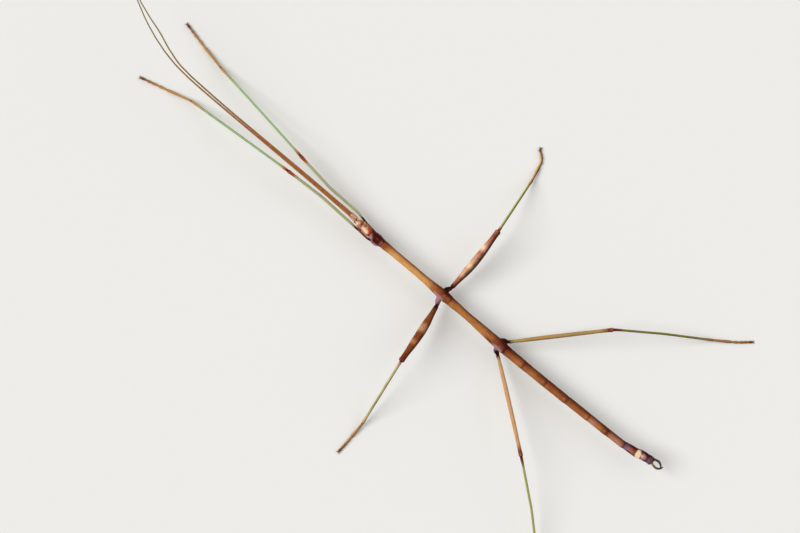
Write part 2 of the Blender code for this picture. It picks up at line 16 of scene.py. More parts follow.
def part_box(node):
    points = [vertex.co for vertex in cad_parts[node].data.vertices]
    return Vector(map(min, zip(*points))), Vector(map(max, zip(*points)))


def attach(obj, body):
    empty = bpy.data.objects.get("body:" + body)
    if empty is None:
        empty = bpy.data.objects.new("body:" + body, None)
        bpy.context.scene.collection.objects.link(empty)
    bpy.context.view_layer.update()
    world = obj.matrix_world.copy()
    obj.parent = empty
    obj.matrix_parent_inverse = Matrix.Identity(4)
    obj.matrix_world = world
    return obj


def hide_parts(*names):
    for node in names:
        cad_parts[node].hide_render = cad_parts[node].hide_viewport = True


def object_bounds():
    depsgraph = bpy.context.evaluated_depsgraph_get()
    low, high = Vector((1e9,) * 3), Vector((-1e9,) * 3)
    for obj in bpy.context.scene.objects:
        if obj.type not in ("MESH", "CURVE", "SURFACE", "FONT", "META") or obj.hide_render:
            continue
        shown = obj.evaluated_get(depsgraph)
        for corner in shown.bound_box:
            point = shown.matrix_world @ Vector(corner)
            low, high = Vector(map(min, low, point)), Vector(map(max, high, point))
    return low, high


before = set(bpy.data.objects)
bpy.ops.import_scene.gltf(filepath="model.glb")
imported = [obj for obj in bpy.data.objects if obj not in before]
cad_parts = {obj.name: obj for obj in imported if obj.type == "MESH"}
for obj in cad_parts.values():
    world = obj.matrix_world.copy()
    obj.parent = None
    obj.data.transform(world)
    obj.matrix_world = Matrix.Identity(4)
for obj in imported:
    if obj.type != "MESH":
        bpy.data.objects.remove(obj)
CAD_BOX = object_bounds()

bl_info = {
    "name": "Walkingstick model",
    "version": (1, 0, 0),
    "blender": (4, 5, 0),
    "location": "3D View > Sidebar > Walkingstick",
    "description": "Builds a walkingstick's skin, eyes, mouthparts, claspers, claws and stage",
    "category": "Add Mesh",
}

MM = 0.001
UP = np.array([0.0, 0.0, 1.0])
SIDES = {"right": -1.0, "left": 1.0}
PAIRS = ("fore", "mid", "hind")

THORAX_NODES = ("prothorax", "mesothorax", "metathorax")
ABDOMEN_NODES = tuple(f"abdomen_{number}" for number in range(2, 11))
LEG_PARTS = ("coxa", "femur", "tibia", "tarsus")
FEELER_PARTS = ("scape", "base", "middle", "tip")

# Places along a limb part where its solid is cut to find the middle and the thickness.
SHARES = (0.012, 0.03, 0.055, 0.09, 0.13, 0.19, 0.26, 0.33, 0.40, 0.47, 0.54, 0.61, 0.68,
          0.75, 0.81, 0.87, 0.92, 0.955, 0.988)

# How thick each living part of a leg is, as a share of its solid, and how much fuller the
# femur's root is.
FIT = {
    "fore": {"coxa": 1.16, "femur": 1.0, "tibia": 0.97},
    "mid": {"coxa": 1.30, "femur": 0.98, "tibia": 1.02},
    "hind": {"coxa": 1.24, "femur": 0.98, "tibia": 0.95},
}
SWELL = {"fore": 0.15, "mid": 0.14, "hind": 0.16}

# Shares of a leg's markings that its parts take up.
LEG_SPANS = {
    "coxa": (0.0, 0.06),
    "femur": (0.06, 0.45),
    "tibia": (0.45, 0.80),
    "tarsus": (0.80, 1.0),
}

# The foot: where its segments end, and the length and radius of a pad in millimetres.
TARSOMERES = (0.0, 0.48, 0.64, 0.77, 0.87, 1.0)
PAD_LENGTH, PAD_RADIUS = 0.36, 0.15


def linear(red, green, blue):
    """Linear colour for display values from 0 to 255."""
    values = []
    for value in (red, green, blue):
        share = value / 255
        values.append(share / 12.92 if share <= 0.04045 else ((share + 0.055) / 1.055) ** 2.4)
    return tuple(values)


def size(name, description, millimetres):
    return FloatProperty(
        name=name, description=description, default=millimetres * MM, min=0.0,
        precision=6, unit="LENGTH",
    )


def number(name, description, default, low, high):
    return IntProperty(name=name, description=description, default=default, min=low, max=high)


def turn(name, description, degrees, **limits):
    return FloatProperty(
        name=name, description=description, default=math.radians(degrees), subtype="ANGLE",
        **limits,
    )


def strength(name, description, default):
    return FloatProperty(name=name, description=description, default=default, min=0.0)


def tint(name, description, red, green, blue):
    return FloatVectorProperty(
        name=name, description=description, default=linear(red, green, blue), size=3,
        min=0.0, max=1.0, subtype="COLOR",
    )


class WalkingstickSizes(bpy.types.PropertyGroup):
    skin_depth: size("Skin depth", "How far the skin lies inside the solids", 0.015)
    groove_depth: size("Groove depth", "Depth of the grooves between body segments", 0.05)
    keel_height: size("Keel height", "Height of the fine keels along legs and thorax", 0.022)
    wrinkle_height: size("Wrinkle height", "Height of the cuticle's soft unevenness", 0.012)
    feeler_base: size("Feeler base radius", "Radius of the thread where it starts", 0.245)
    feeler_tip: size("Feeler tip radius", "Radius of the thread at its end", 0.10)
    spine_length: size("Spine length", "Length of the spine under the end of a femur", 0.50)
    foot_radius: size("Foot radius", "Radius of a foot segment at its wide end", 0.275)
    claw_radius: size("Claw radius", "Radius of a claw at its root", 0.075)
    ring_step: size("Ring step", "Distance between two rings of the skin's mesh", 0.155)
    trunk_sides: number("Trunk sides", "Points round the trunk", 44, 12, 96)
    leg_sides: number("Leg sides", "Points round a leg", 20, 8, 48)


class WalkingstickColours(bpy.types.PropertyGroup):
    tan: tint("Tan", "Back of the middle thorax", 209, 145, 84)
    ochre: tint("Ochre", "Back of the hind thorax", 173, 107, 57)
    brown: tint("Brown", "Back of the abdomen", 142, 75, 38)
    umber: tint("Umber", "Thorax round the hips", 110, 54, 28)
    bark: tint("Bark", "Shaded flanks", 62, 26, 6)
    # Maroon also paints the shade on the right hips.
    maroon: tint("Maroon", "Front thorax and dark joints", 68, 12, 8)
    # Near black: painted shade on the right hips and left fore leg, and the dark roots of hips and
    # femora.
    black_and_shade: tint("Soot", "Shaded hips", 34, 10, 5)
    rust: tint("Rust", "Back edge of the head", 172, 66, 26)
    pink: tint("Pink", "Head and swollen right femur", 216, 172, 138)
    rose: tint("Rose", "Front thorax, tail and knees", 152, 84, 66)
    # Mauve is partly painted light on the left hips.
    mauve: tint("Mauve", "Lobes of the left hips", 166, 124, 128)
    plum: tint("Plum", "Tail end", 100, 72, 80)
    cream: tint("Cream", "Pale spots and bands", 240, 208, 172)
    orange: tint("Orange", "Inner half of the feelers", 166, 106, 60)
    honey: tint("Honey", "Feet and ankles", 184, 138, 80)
    leaf_green: tint("Leaf green", "Fore tibiae", 158, 186, 132)
    grey_green: tint("Grey green", "Fore femora", 176, 180, 136)
    moss: tint("Moss", "Middle tibiae", 160, 162, 88)
    olive: tint("Olive", "Hind tibiae", 122, 118, 46)
    sand: tint("Sand", "Hind femora", 199, 150, 102)
    dun: tint("Dun", "Outer half of the feelers", 142, 118, 74)
    horn: tint("Horn", "Claws and claspers", 66, 48, 16)
    eye: tint("Eye", "Eyes", 84, 46, 28)


class WalkingstickStage(bpy.types.PropertyGroup):
    lens: FloatProperty(
        name="Lens", description="Focal length", default=100.0, min=10.0, unit="CAMERA"
    )
    distance: size("Distance", "From the camera to the aim point", 419.29)
    aim_back: size("Aim back", "From the model's middle towards the tail", 4.495)
    aim_left: size("Aim left", "From the model's middle towards its left", 0.412)
    tilt: turn("Tilt", "Lean of the view towards the insect's left", 12.0)
    roll: turn("Roll", "Turn of the view about its own line of sight", 39.9)
    floor: tint("Floor", "Plain floor", 238, 237, 233)
    key: strength("Main light", "Strength of the main soft light", 2.3)
    key_spread: turn("Main light spread", "How wide, and so how soft, it is", 37.0, min=0.0)
    fill: strength("Fill light", "Strength of the weaker light", 0.52)
    fill_spread: turn("Fill light spread", "How wide, and so how soft, it is", 51.0, min=0.0)
    sky: strength("Sky", "Strength of the even light from all round", 0.40)


# ---------------------------------------------------------------- reading the solids


def solid_box(name):
    """Low corner, high corner and middle of a solid's box, in millimetres."""
    low, high = (np.array(corner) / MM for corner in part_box(name))
    return low, high, (low + high) / 2


def node_triangles(name):
    """Corners of a solid's triangles, in millimetres, as an array (count, 3, 3)."""
    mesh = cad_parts[name].data
    mesh.calc_loop_triangles()
    places = np.empty(len(mesh.vertices) * 3)
    mesh.vertices.foreach_get("co", places)
    corners = np.empty(len(mesh.loop_triangles) * 3, dtype=np.int32)
    mesh.loop_triangles.foreach_get("vertices", corners)
    return places.reshape(-1, 3)[corners].reshape(-1, 3, 3) / MM


def cut(triangles, point, normal):
    """Ends of the lines where a plane crosses the triangles, as an array (count, 2, 3)."""
    levels = (triangles - point) @ normal
    above = levels > 0
    crossed = above.any(axis=1) & ~above.all(axis=1)
    lines = []
    for corners, heights in zip(triangles[crossed], levels[crossed]):
        ends = []
        for a, b in ((0, 1), (1, 2), (2, 0)):
            if (heights[a] > 0) != (heights[b] > 0):
                share = heights[a] / (heights[a] - heights[b])
                ends.append(corners[a] + (corners[b] - corners[a]) * share)
        lines.append(ends)
    return np.array(lines)


def outline_centre(lines):
    """Middle and length of an outline made of separate lines."""
    lengths = np.linalg.norm(lines[:, 1] - lines[:, 0], axis=1)
    middles = lines.mean(axis=1)
    return (middles * lengths[:, None]).sum(axis=0) / lengths.sum(), lengths.sum()


def limb_core(name, near):
    """Middle line and radii of a slim solid, starting at the end that lies nearer to a point."""
    triangles = node_triangles(name)
    points = triangles.reshape(-1, 3)
    middle = points.mean(axis=0)
    axis = np.linalg.svd(points - middle, full_matrices=False)[2][0]
    reach = (points - middle) @ axis
    first, last = middle + axis * reach.min(), middle + axis * reach.max()
    if np.linalg.norm(last - near) < np.linalg.norm(first - near):
        first, last, axis = last, first, -axis
    centres, radii = [], []
    for share in SHARES:
        centre, length = outline_centre(cut(triangles, first + (last - first) * share, axis))
        centres.append(centre)
        radii.append(length / (2 * math.pi))
    return np.array(centres), np.array(radii)


def trunk_core(names):
    """Rows of place along the body, sideways place, height, half width and half height."""
    margin, step = 0.02, 0.4
    rows = []
    for name in names:
        triangles = node_triangles(name)
        low, high = triangles[..., 1].min(), triangles[..., 1].max()
        count = max(6, round((high - low) / step))
        for y in np.linspace(low + margin, high - margin, count):
            lines = cut(triangles, np.array([0.0, y, 0.0]), np.array([0.0, 1.0, 0.0]))
            ends = lines.reshape(-1, 3)
            low_end, high_end = ends.min(axis=0), ends.max(axis=0)
            middle, half = (low_end + high_end) / 2, (high_end - low_end) / 2
            rows.append((y, middle[0], middle[2], half[0], half[2]))
    return np.array(rows)


# ---------------------------------------------------------------- curves and profiles


def unit(vectors):
    """Vectors of the same directions and length 1."""
    return vectors / np.linalg.norm(vectors, axis=-1, keepdims=True)


def curve(places, values, at):
    """Smooth curve through values at rising places, read at the places asked for."""
    places, values, at = np.asarray(places), np.asarray(values, float), np.asarray(at, float)
    slopes = np.gradient(values, places, axis=0)
    k = np.clip(np.searchsorted(places, at) - 1, 0, len(places) - 2)
    span = places[k + 1] - places[k]
    t = np.clip((at - places[k]) / span, 0.0, 1.0)
    if values.ndim > 1:
        span, t = span[:, None], t[:, None]
    low, high = values[k], values[k + 1]
    rise, start, end = high - low, slopes[k] * span, slopes[k + 1] * span
    return low + t * start + t * t * (3 * rise - 2 * start - end) + t**3 * (start + end - 2 * rise)


def softened(values, reach):
    """Values of an evenly spaced row, averaged with a bell curve of that many steps."""
    steps = np.arange(-3 * reach, 3 * reach + 1)
    weights = np.exp(-((steps / reach) ** 2) / 2)
    weights /= weights.sum()
    edge = len(steps) // 2
    padded = np.pad(values, ((edge, edge), (0, 0)), mode="edge")
    return np.stack([np.convolve(column, weights, mode="valid") for column in padded.T], axis=1)


def widest(values, reach):
    """Largest value within that many steps to either side, for each column."""
    padded = np.pad(values, ((reach, reach), (0, 0)), mode="edge")
    return np.max([padded[k:k + len(values)] for k in range(2 * reach + 1)], axis=0)


def lengths_along(points):
    """Distance of each point from the first, along the line."""
    steps = np.linalg.norm(np.diff(points, axis=0), axis=1)
    return np.concatenate([[0.0], np.cumsum(steps)])


def stations(length, step, start_cap, end_cap):
    """Places along a body, closer together in its rounded ends."""
    turns = np.linspace(0.0, math.pi / 2, 7)
    first = start_cap * (1 - np.cos(turns))
    last = length - end_cap * (1 - np.cos(turns[::-1]))
    count = max(2, round((last[0] - first[-1]) / step))
    body = np.linspace(first[-1], last[0], count + 1)[1:-1]
    return np.concatenate([first, body, last])


def rounding(places, length, start_cap, end_cap):
    """Factor that brings the radius down to nothing over the rounded ends."""
    start = np.clip(1 - places / start_cap, 0.0, 1.0)
    end = np.clip(1 - (length - places) / end_cap, 0.0, 1.0)
    return np.sqrt(np.clip(1 - start**2, 1e-4, 1)) * np.sqrt(np.clip(1 - end**2, 1e-4, 1))


def rounded(length, step, *caps):
    """Stations of a body with rounded ends, and the factor that closes it there."""
    places = stations(length, step, *caps)
    return places, rounding(places, length, *caps)


def bell(distance, width):
    """1 at the middle, falling softly to 0."""
    return np.exp(-((distance / width) ** 2))


def around(angle, centre, width):
    """Bell curve round a body, in degrees from its back."""
    gap = (np.degrees(angle) - centre + 180) % 360 - 180
    return bell(gap, width)


def flanks(angle, centre, width):
    """The same bell curve on both sides of the back."""
    return around(angle, centre, width) + around(angle, -centre, width)


def spots(rows, at, angle):
    """Sum of soft spots, each with its place, reach, turn from the back, width and strength."""
    total = 0.0 * (at + angle)
    for place, reach, turn_at, width, depth in rows:
        total = total + depth * bell(at - place, reach) * around(angle, turn_at, width)
    return total


def painted(rows, start, scale=1.0):
    """Marking of soft spots whose places count from the start of a body."""
    return lambda _, place, angle: spots(rows, (place - start) / scale, angle)


def fade(value, low, high):
    """Smooth step from 0 to 1 between low and high."""
    share = np.clip((value - low) / (high - low), 0.0, 1.0)
    return share * share * (3 - 2 * share)


def unevenness(place, angle, scale, seed):
    """Soft noise between -1 and 1 over a body's surface."""
    points = np.stack(np.broadcast_arrays(np.sin(angle), place, np.cos(angle)), axis=-1)
    flat = points.reshape(-1, 3) * scale + seed
    return np.array([noise.noise(Vector(point)) for point in flat]).reshape(points.shape[:-1])


# ---------------------------------------------------------------- the skin's mesh


def linked(name, data):
    """A new object in the scene."""
    obj = bpy.data.objects.new(name, data)
    bpy.context.scene.collection.objects.link(obj)
    return obj


def joined(parts):
    """Arrays as one flat row of numbers for a layer of the mesh."""
    return np.concatenate(parts).astype(np.float32).ravel()


class Shell:
    """Collects closed lofts, with the coordinates their markings, painted light and painted shade
    need, into one mesh.
    """

    MARKS = ("crease", "mark", "rust", "bloom")  # dark marks with painted shade, pale marks with painted highlights, red-brown marks, and mauve marks with painted highlights
    STRIP_WIDTH = 80.0  # millimetres of body across the unwrap
    SHELF = 1.06  # height of a shelf of the unwrap, as a share of its strip
    GRAIN_STEP = 3.0  # how far the grain moves on from body to body, in millimetres

    def __init__(self):
        self.points, self.quads, self.fans, self.slots = [], [], [], []
        self.quad_maps, self.fan_maps, self.flow = [], [], []
        self.fields = {name: [] for name in ("along", "top", "lee", *self.MARKS)}
        self.count = 0
        self.height = 0.0

    def add(self, slot, line, widths, heights, sides, *, relief=None, along=(0.0, 1.0),
            lee=1.0, upward=UP, **marks):
        """Adds a body round a line, with half widths and half heights at its points."""
        places = lengths_along(line)
        tangent = unit(np.gradient(line, axis=0))
        top = unit(upward - tangent * (tangent @ upward)[:, None])
        beside = np.cross(tangent, top)
        angle = 2 * math.pi * np.arange(sides) / sides
        out = widths[:, None] * np.sin(angle)
        high = heights[:, None] * np.cos(angle)
        shares = places / places[-1]
        surface = shares[:, None], places[:, None], angle[None, :]
        if relief is not None:
            extra = relief(*surface)
            out, high = out + extra * np.sin(angle), high + extra * np.cos(angle)
        rings = line[:, None] + beside[:, None] * out[..., None] + top[:, None] * high[..., None]
        rings[..., 2] = np.maximum(rings[..., 2], 0.0)  # nothing sinks into the floor
        self.points += [rings.reshape(-1, 3), rings[[0, -1]].mean(axis=1)]

        blank = np.zeros((len(line), sides))
        start, end = along
        values = {
            "along": blank + (start + (end - start) * shares)[:, None],
            "top": blank + np.cos(angle),
            # Painted light: this field is positive on the side away from the light, where painted
            # shade goes, and negative on the lit side.
            "lee": blank + lee * np.sin(angle),
        }
        for name in self.MARKS:
            values[name] = blank + marks[name](*surface) if name in marks else blank
        for name, grid in values.items():
            self.fields[name] += [grid.ravel(), grid[[0, -1], 0]]
        grain = places + (self.GRAIN_STEP * len(self.slots) + self.height)
        self.flow += [
            np.stack([blank + grain[:, None], out, high], axis=-1).reshape(-1, 3),
            np.array([[grain[0], 0, 0], [grain[-1], 0, 0]]),
        ]
        self.join(slot, len(line), sides)
        self.unwrap(places, sides, max(widths.max(), heights.max()))

    def join(self, slot, ring_count, sides):
        """Joins the rings with quads and closes both ends with fans."""
        first = self.count
        tip = first + ring_count * sides
        last = tip - sides
        i = np.arange(ring_count - 1)[:, None] * sides + first
        j = np.arange(sides)
        following = (j + 1) % sides
        corners = [i + j, i + following, i + sides + following, i + sides + j]
        self.quads.append(np.stack(corners, -1).reshape(-1, 4))
        self.fans.append(np.stack([tip + 0 * j, first + following, first + j], -1))
        self.fans.append(np.stack([tip + 1 + 0 * j, last + j, last + following], -1))
        self.slots.append((slot, (ring_count - 1) * sides, sides))
        self.count = tip + 2

    def unwrap(self, places, sides, radius):
        """Rolls the body out as a strip of the unwrap, on a shelf of its own."""
        strip = 2 * math.pi * radius
        u = places / self.STRIP_WIDTH
        v = self.height + strip * np.arange(sides + 1) / sides
        grid = np.stack(np.meshgrid(u, v, indexing="ij"), axis=-1)
        corners = [grid[:-1, :-1], grid[:-1, 1:], grid[1:, 1:], grid[1:, :-1]]
        self.quad_maps.append(np.stack(corners, axis=2).reshape(-1, 2))
        middle = self.height + strip / 2
        for place in (u[0], u[-1]):
            fan = [[[place, middle], [place, a], [place, b]] for a, b in zip(v[:-1], v[1:])]
            self.fan_maps.append(np.array(fan).reshape(-1, 2))
        self.height += strip * self.SHELF

    def build(self, name, materials):
        """Makes the mesh, with its markings, unwrap and materials."""
        mesh = bpy.data.meshes.new(name)
        faces = np.concatenate(self.quads).tolist() + np.concatenate(self.fans).tolist()
        mesh.from_pydata((np.concatenate(self.points) * MM).tolist(), [], faces)
        for field, parts in self.fields.items():
            layer = mesh.attributes.new(field, "FLOAT", "POINT")
            layer.data.foreach_set("value", joined(parts))
        layer = mesh.attributes.new("flow", "FLOAT_VECTOR", "POINT")
        layer.data.foreach_set("vector", joined(self.flow))
        maps = np.concatenate(self.quad_maps + self.fan_maps)
        maps[:, 1] /= self.height
        mesh.uv_layers.new(name="OFBake").data.foreach_set("uv", joined([maps]))
        order = {material.name: k for k, material in enumerate(materials)}
        slots = [np.full(count, order[slot]) for slot, count, _ in self.slots]
        slots += [np.full(2 * sides, order[slot]) for slot, _, sides in self.slots]
        for material in materials:
            mesh.materials.append(material)
        mesh.polygons.foreach_set("material_index", np.concatenate(slots).astype(np.int32))
        mesh.shade_smooth()
        mesh.validate()
        return linked(name, mesh)


def placed(obj, slot, *nodes):
    """A finished piece rides on the body and stands for its solids."""
    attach(obj, "root")
    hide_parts(*nodes)
    return obj


# ---------------------------------------------------------------- parts of the skin


def head_shape():
    """Back end, length, stations and rows (x, z, half width, half height) of the head."""
    rows = trunk_core(("head",))[::-1]
    y_back, y_front = rows[0, 0], rows[-1, 0]
    length = y_back - y_front
    straight = np.polyfit(rows[:-1, 0], rows[:-1, 1], 1)
    rows[:, 1] = np.polyval(straight, rows[:, 0])
    rows[-1, 3:] = rows[-2, 3:] * (0.60, 0.58)  # the front is cut off bluntly in the solid
    return y_back, length, (y_back - rows[:, 0]) / length, rows[:, 1:]


NECK = 0.75  # millimetres of the head that reach back into the front thorax

# Markings of the head: share from neck to mouth, reach, turn to the right, width, strength.
# The dark spot at 0.57, turned to the left, is painted shade.
HEAD_DARK = ((0.44, 0.045, 17, 13, 1.1), (0.70, 0.05, 4, 22, 0.85), (0.57, 0.03, -52, 12, 0.5),
             (0.80, 0.04, 30, 12, 0.5), (0.28, 0.05, 44, 16, 0.5), (0.06, 0.05, 60, 30, 0.7))
HEAD_PALE = ((0.22, 0.11, -34, 18, 1.3), (0.42, 0.14, -26, 16, 1.5), (0.92, 0.07, -44, 24, 1.2),
             (0.61, 0.05, 42, 13, 0.8), (0.82, 0.05, -8, 12, 0.5))
HEAD_RUST = ((0.12, 0.09, 18, 26, 1.5), (0.26, 0.07, 26, 14, 0.9), (0.03, 0.05, -20, 40, 0.6))
HEAD_BLOOM = ((0.67, 0.06, -42, 15, 0.8), (0.76, 0.05, 22, 16, 0.5), (0.36, 0.05, 46, 14, 0.4))


def add_head(skin, sizes):
    """Head with its eye sockets, cheeks, seams and markings."""
    y_back, length, shares, rows = head_shape()
    places, cap = rounded(length + NECK, 0.05, 0.3, 0.42)
    at = (places - NECK) / length
    body = curve(shares, rows, np.clip(at, shares[0], shares[-1]))
    line = np.stack([body[:, 0], y_back + NECK - places, body[:, 1]], axis=1)
    full = 1.05 + 0.24 * bell(at - 0.04, 0.11) - 0.14 * bell(at + 0.06, 0.03)  # back of the head
    depth = sizes.skin_depth / MM
    widths = (body[:, 2] - depth) * cap * full
    heights = (body[:, 3] - depth) * cap * (1 + 0.5 * (full - 1))
    eye_at = (y_back - solid_box("eye_left")[2][1]) / length

    def relief(_, place, angle):
        share = (place - NECK) / length
        sockets = 0.10 * bell(share - eye_at, 0.15) * flanks(angle, 74, 26)
        cheeks = 0.04 * bell(share - 0.80, 0.10) * flanks(angle, 62, 18)
        feeler_roots = 0.07 * bell(share - 0.90, 0.06) * flanks(angle, 36, 18)
        seam = 0.028 * around(angle, 0, 7) * fade(share, 0.02, 0.08) * fade(0.62 - share, 0.0, 0.1)
        fork = np.degrees(np.arctan(np.clip((share - 0.55) * 2.6, 0, 1)))
        split = fade(share, 0.54, 0.60) * fade(0.86 - share, 0.0, 0.08)
        collar = 0.045 * bell(share - 0.09, 0.018)
        total = sockets - cheeks + feeler_roots - seam
        total = total - 0.03 * split * flanks(angle, fork, 8) - collar
        total = total + 0.02 * unevenness(place, angle, (2.6, 2.2, 2.6), 3.0)
        return total * fade(share, 0.0, 0.04)

    def crease(_, place, angle):
        share = (place - NECK) / length
        edge = 0.95 * bell(share + 0.03, 0.04) + 0.30 * bell(share - 0.085, 0.015)
        return spots(HEAD_DARK, share, angle) + edge

    pale, rust, bloom = (painted(rows, NECK, length) for rows in (
        HEAD_PALE, HEAD_RUST, HEAD_BLOOM))
    skin.add("skin_head", line, widths, heights, sizes.trunk_sides, relief=relief,
             crease=crease, mark=pale, rust=rust, bloom=bloom)


# Markings of the trunk: landmark, distance behind it, reach, turn to the left, width, strength.
# The small pale spot 1.22 behind the tail joint is a painted highlight.
TRUNK_PALE = (
    ("shoulder", -0.20, 0.25, 6, 16, 0.3), ("neck", 0.75, 0.2, 30, 12, 0.2),
    ("mid", -1.5, 0.6, 50, 24, 0.28), ("mid", 0.2, 0.45, 10, 16, 0.25),
    ("hind", -0.2, 0.4, 26, 16, 0.25), ("tail", 0.36, 0.36, 24, 56, 2.6),
    ("tail", 1.22, 0.24, 22, 24, 0.62), ("tail", -0.85, 0.30, 34, 18, 0.26),
)
JOINT_PALE = ((-0.62, 0.30, 18, 26, 0.24), (0.55, 0.38, 30, 28, 0.18))  # painted highlights beside the abdomen's joints
# The large rows turned far to the right at the fore, mid and hind hips are partly painted shade.
TRUNK_DARK = (
    ("neck", 0.7, 0.8, -40, 50, 0.9), ("neck", 1.6, 0.7, 30, 60, 0.55),
    ("fore", 0.5, 1.5, -72, 42, 1.0), ("fore", 1.4, 0.35, -30, 24, 0.5),
    ("mid", 0.5, 1.1, -62, 52, 1.3), ("mid", 0.9, 0.5, 60, 30, 0.45),
    ("mid", 2.5, 0.8, -44, 60, 0.36), ("hind", 0.1, 1.2, -62, 50, 1.0),
    ("hind", -2.6, 1.2, 62, 34, 0.62), ("hind", 0.9, 0.5, 50, 34, 0.40),
    ("waist", 0.6, 0.7, -50, 44, 0.6), ("tail", -1.1, 0.9, -48, 36, 1.0),
    ("tail", -1.4, 0.8, 78, 28, 1.2), ("tail", 1.7, 0.7, -50, 36, 1.1),
    ("tail", 1.8, 0.5, 82, 26, 1.1),
)
TRUNK_RUST = (("fore", -0.4, 0.35, -14, 22, 0.5), ("hind", -1.6, 1.0, -20, 34, 0.30))
# Mauve lobes to the left at the neck and hips are partly painted light; the spot 1.42 behind the
# tail joint is a painted highlight.
TRUNK_MAUVE_AND_HIGHLIGHT = (
    ("fore", 0.20, 0.35, 8, 16, 0.55), ("neck", 0.45, 0.40, 66, 36, 1.4),
    ("fore", 1.2, 0.3, 30, 20, 0.3), ("mid", -0.6, 1.2, 72, 34, 1.1),
    ("hind", -0.5, 1.5, 72, 34, 1.1), ("tail", 1.42, 0.36, 24, 40, 1.6),
)


def trunk_profile():
    """Even rows down the trunk: sideways place, height, half width, half height."""
    rows = trunk_core(THORAX_NODES + ABDOMEN_NODES)
    grid = np.arange(rows[0, 0], rows[-1, 0], 0.1)
    even = np.stack([np.interp(grid, rows[:, 0], column) for column in rows.T[1:]], axis=1)
    even[:, 2:] = widest(even[:, 2:], 3)
    even = softened(even, 5)
    last = solid_box("abdomen_10")[0][1]
    flared = 0.14 * fade(grid, last - 0.2, last + 0.5)
    even[:, 2] *= 1 + flared - 0.05 * bell(grid - last + 1.1, 0.7)
    return grid, even


def near_trunk(trunk, y):
    """The trunk's middle at a place along the body."""
    grid, even = trunk
    middle = curve(grid, even, np.array([y]))[0]
    return np.array([middle[0], y, middle[1]])


def add_trunk(skin, sizes):
    """Thorax and abdomen, each one body; returns the trunk's rows for the hips."""
    grid, even = trunk_profile()
    names = THORAX_NODES + ABDOMEN_NODES
    joints = [(solid_box(before)[1][1] + solid_box(after)[0][1]) / 2
              for before, after in zip(names[:-1], names[1:])]
    depth, groove, keel, wrinkle = (value / MM for value in (
        sizes.skin_depth, sizes.groove_depth, sizes.keel_height, sizes.wrinkle_height))
    hips = {pair: solid_box(f"leg_{pair}_left_coxa")[2][1] for pair in PAIRS}
    shoulder, waist, tail = joints[0], joints[2], joints[-2]
    landmarks = {"neck": grid[0], "shoulder": shoulder, "waist": waist, "tail": tail, **hips}

    def located(rows):
        return [(landmarks[name] + behind, *rest) for name, behind, *rest in rows]

    pale, dark, rust, bloom = map(located, (TRUNK_PALE, TRUNK_DARK, TRUNK_RUST, TRUNK_MAUVE_AND_HIGHLIGHT))
    pale += [(joint + behind, *rest) for joint in joints[3:8] for behind, *rest in JOINT_PALE]

    def body(slot, start, end, *caps):
        """One body from start to end, whose rounded ends have those lengths."""
        thorax = slot == "skin_thorax"
        places, cap = rounded(end - start, sizes.ring_step / MM, *caps)
        at = start + places
        shape = curve(grid, even, np.clip(at, grid[0], grid[-1]))
        line = np.stack([shape[:, 0], at, shape[:, 1]], axis=1)

        def relief(_, place, angle):
            y = start + place
            total = 0.9 * keel * around(angle, 0, 7) * thorax
            total = total + 1.3 * keel * flanks(angle, 84, 9) - 1.2 * keel * flanks(angle, 118, 10)
            for joint in joints:
                small = 0.6 if joint > joints[-3] else 1.0
                lip = 0.30 * bell(y - joint + 0.28, 0.20) - bell(y - joint, 0.07)
                total = total + small * groove * lip
            for hip in hips.values():
                total = total + 0.10 * bell(y - hip, 1.0) * flanks(angle, 102, 34)
            if thorax:  # the collar behind the head
                total = total - 0.05 * bell(place - 1.25, 0.10) + 0.04 * bell(place - 0.55, 0.25)
            total = total + wrinkle * unevenness(y, angle, (2.2, 1.1, 2.2), 7.0)
            return total + 0.5 * wrinkle * unevenness(y, angle, (7.0, 1.3, 7.0), 21.0)

        def crease(_, place, angle):
            y = start + place
            total = spots(dark, y, angle)
            line_depth, halo = (0.5, 0.0) if thorax else (0.36, 0.24)
            for joint in joints:
                total = total + line_depth * bell(y - joint - 0.02, 0.14)
                total = total + halo * bell(y - joint + 0.1, 0.42)
            return total

        widths, heights = (shape[:, 2] - depth) * cap, (shape[:, 3] - depth) * cap
        skin.add(slot, line, widths, heights, sizes.trunk_sides, relief=relief, lee=-1.0,
                 crease=crease, mark=painted(pale, -start), rust=painted(rust, -start),
                 bloom=painted(bloom, -start))

    body("skin_thorax", grid[0] - 0.12, waist + 0.25, 0.18, 0.3)
    body("skin_abdomen", waist - 0.12, grid[-1] + 0.06, 0.25, 0.30)
    return grid, even


def add_genital_plate(skin, sizes):
    """Cup under the ninth segment."""
    rows = trunk_core(("subgenital_plate",))
    length = rows[-1, 0] - rows[0, 0]
    places, cap = rounded(length, 0.06, 0.25, 0.35)
    shape = curve(rows[:, 0], rows[:, 1:], rows[0, 0] + places)
    line = np.stack([shape[:, 0], rows[0, 0] + places, shape[:, 1]], axis=1)
    share = places / length
    line[:, 2] += 0.12 + 0.62 * (1 - fade(share, 0.0, 0.75))  # its root lies in the body
    slim = 1 - 0.25 * fade(share, 0.45, 1.0)

    def relief(share, _, angle):
        return 0.05 * around(angle, 180, 20) * fade(share, 0.1, 0.5)

    skin.add("skin_abdomen", line, shape[:, 2] * cap * slim, shape[:, 3] * cap * slim,
             sizes.leg_sides, relief=relief, along=(0.87, 0.99), lee=-1.0)


# First joint and bead of a feeler, in millimetres.
BURIED = 0.5  # length of the root that lies in the head
SCAPE = ((0.0, 0.5, 0.7, 1.2, 1.6), (0.19, 0.20, 0.26, 0.275, 0.25))  # places and radii
SCAPE_END = 0.20  # radius
BEAD_LENGTH, BEAD_WIDTH, BEAD_HEIGHT = 0.46, 0.245, 0.23


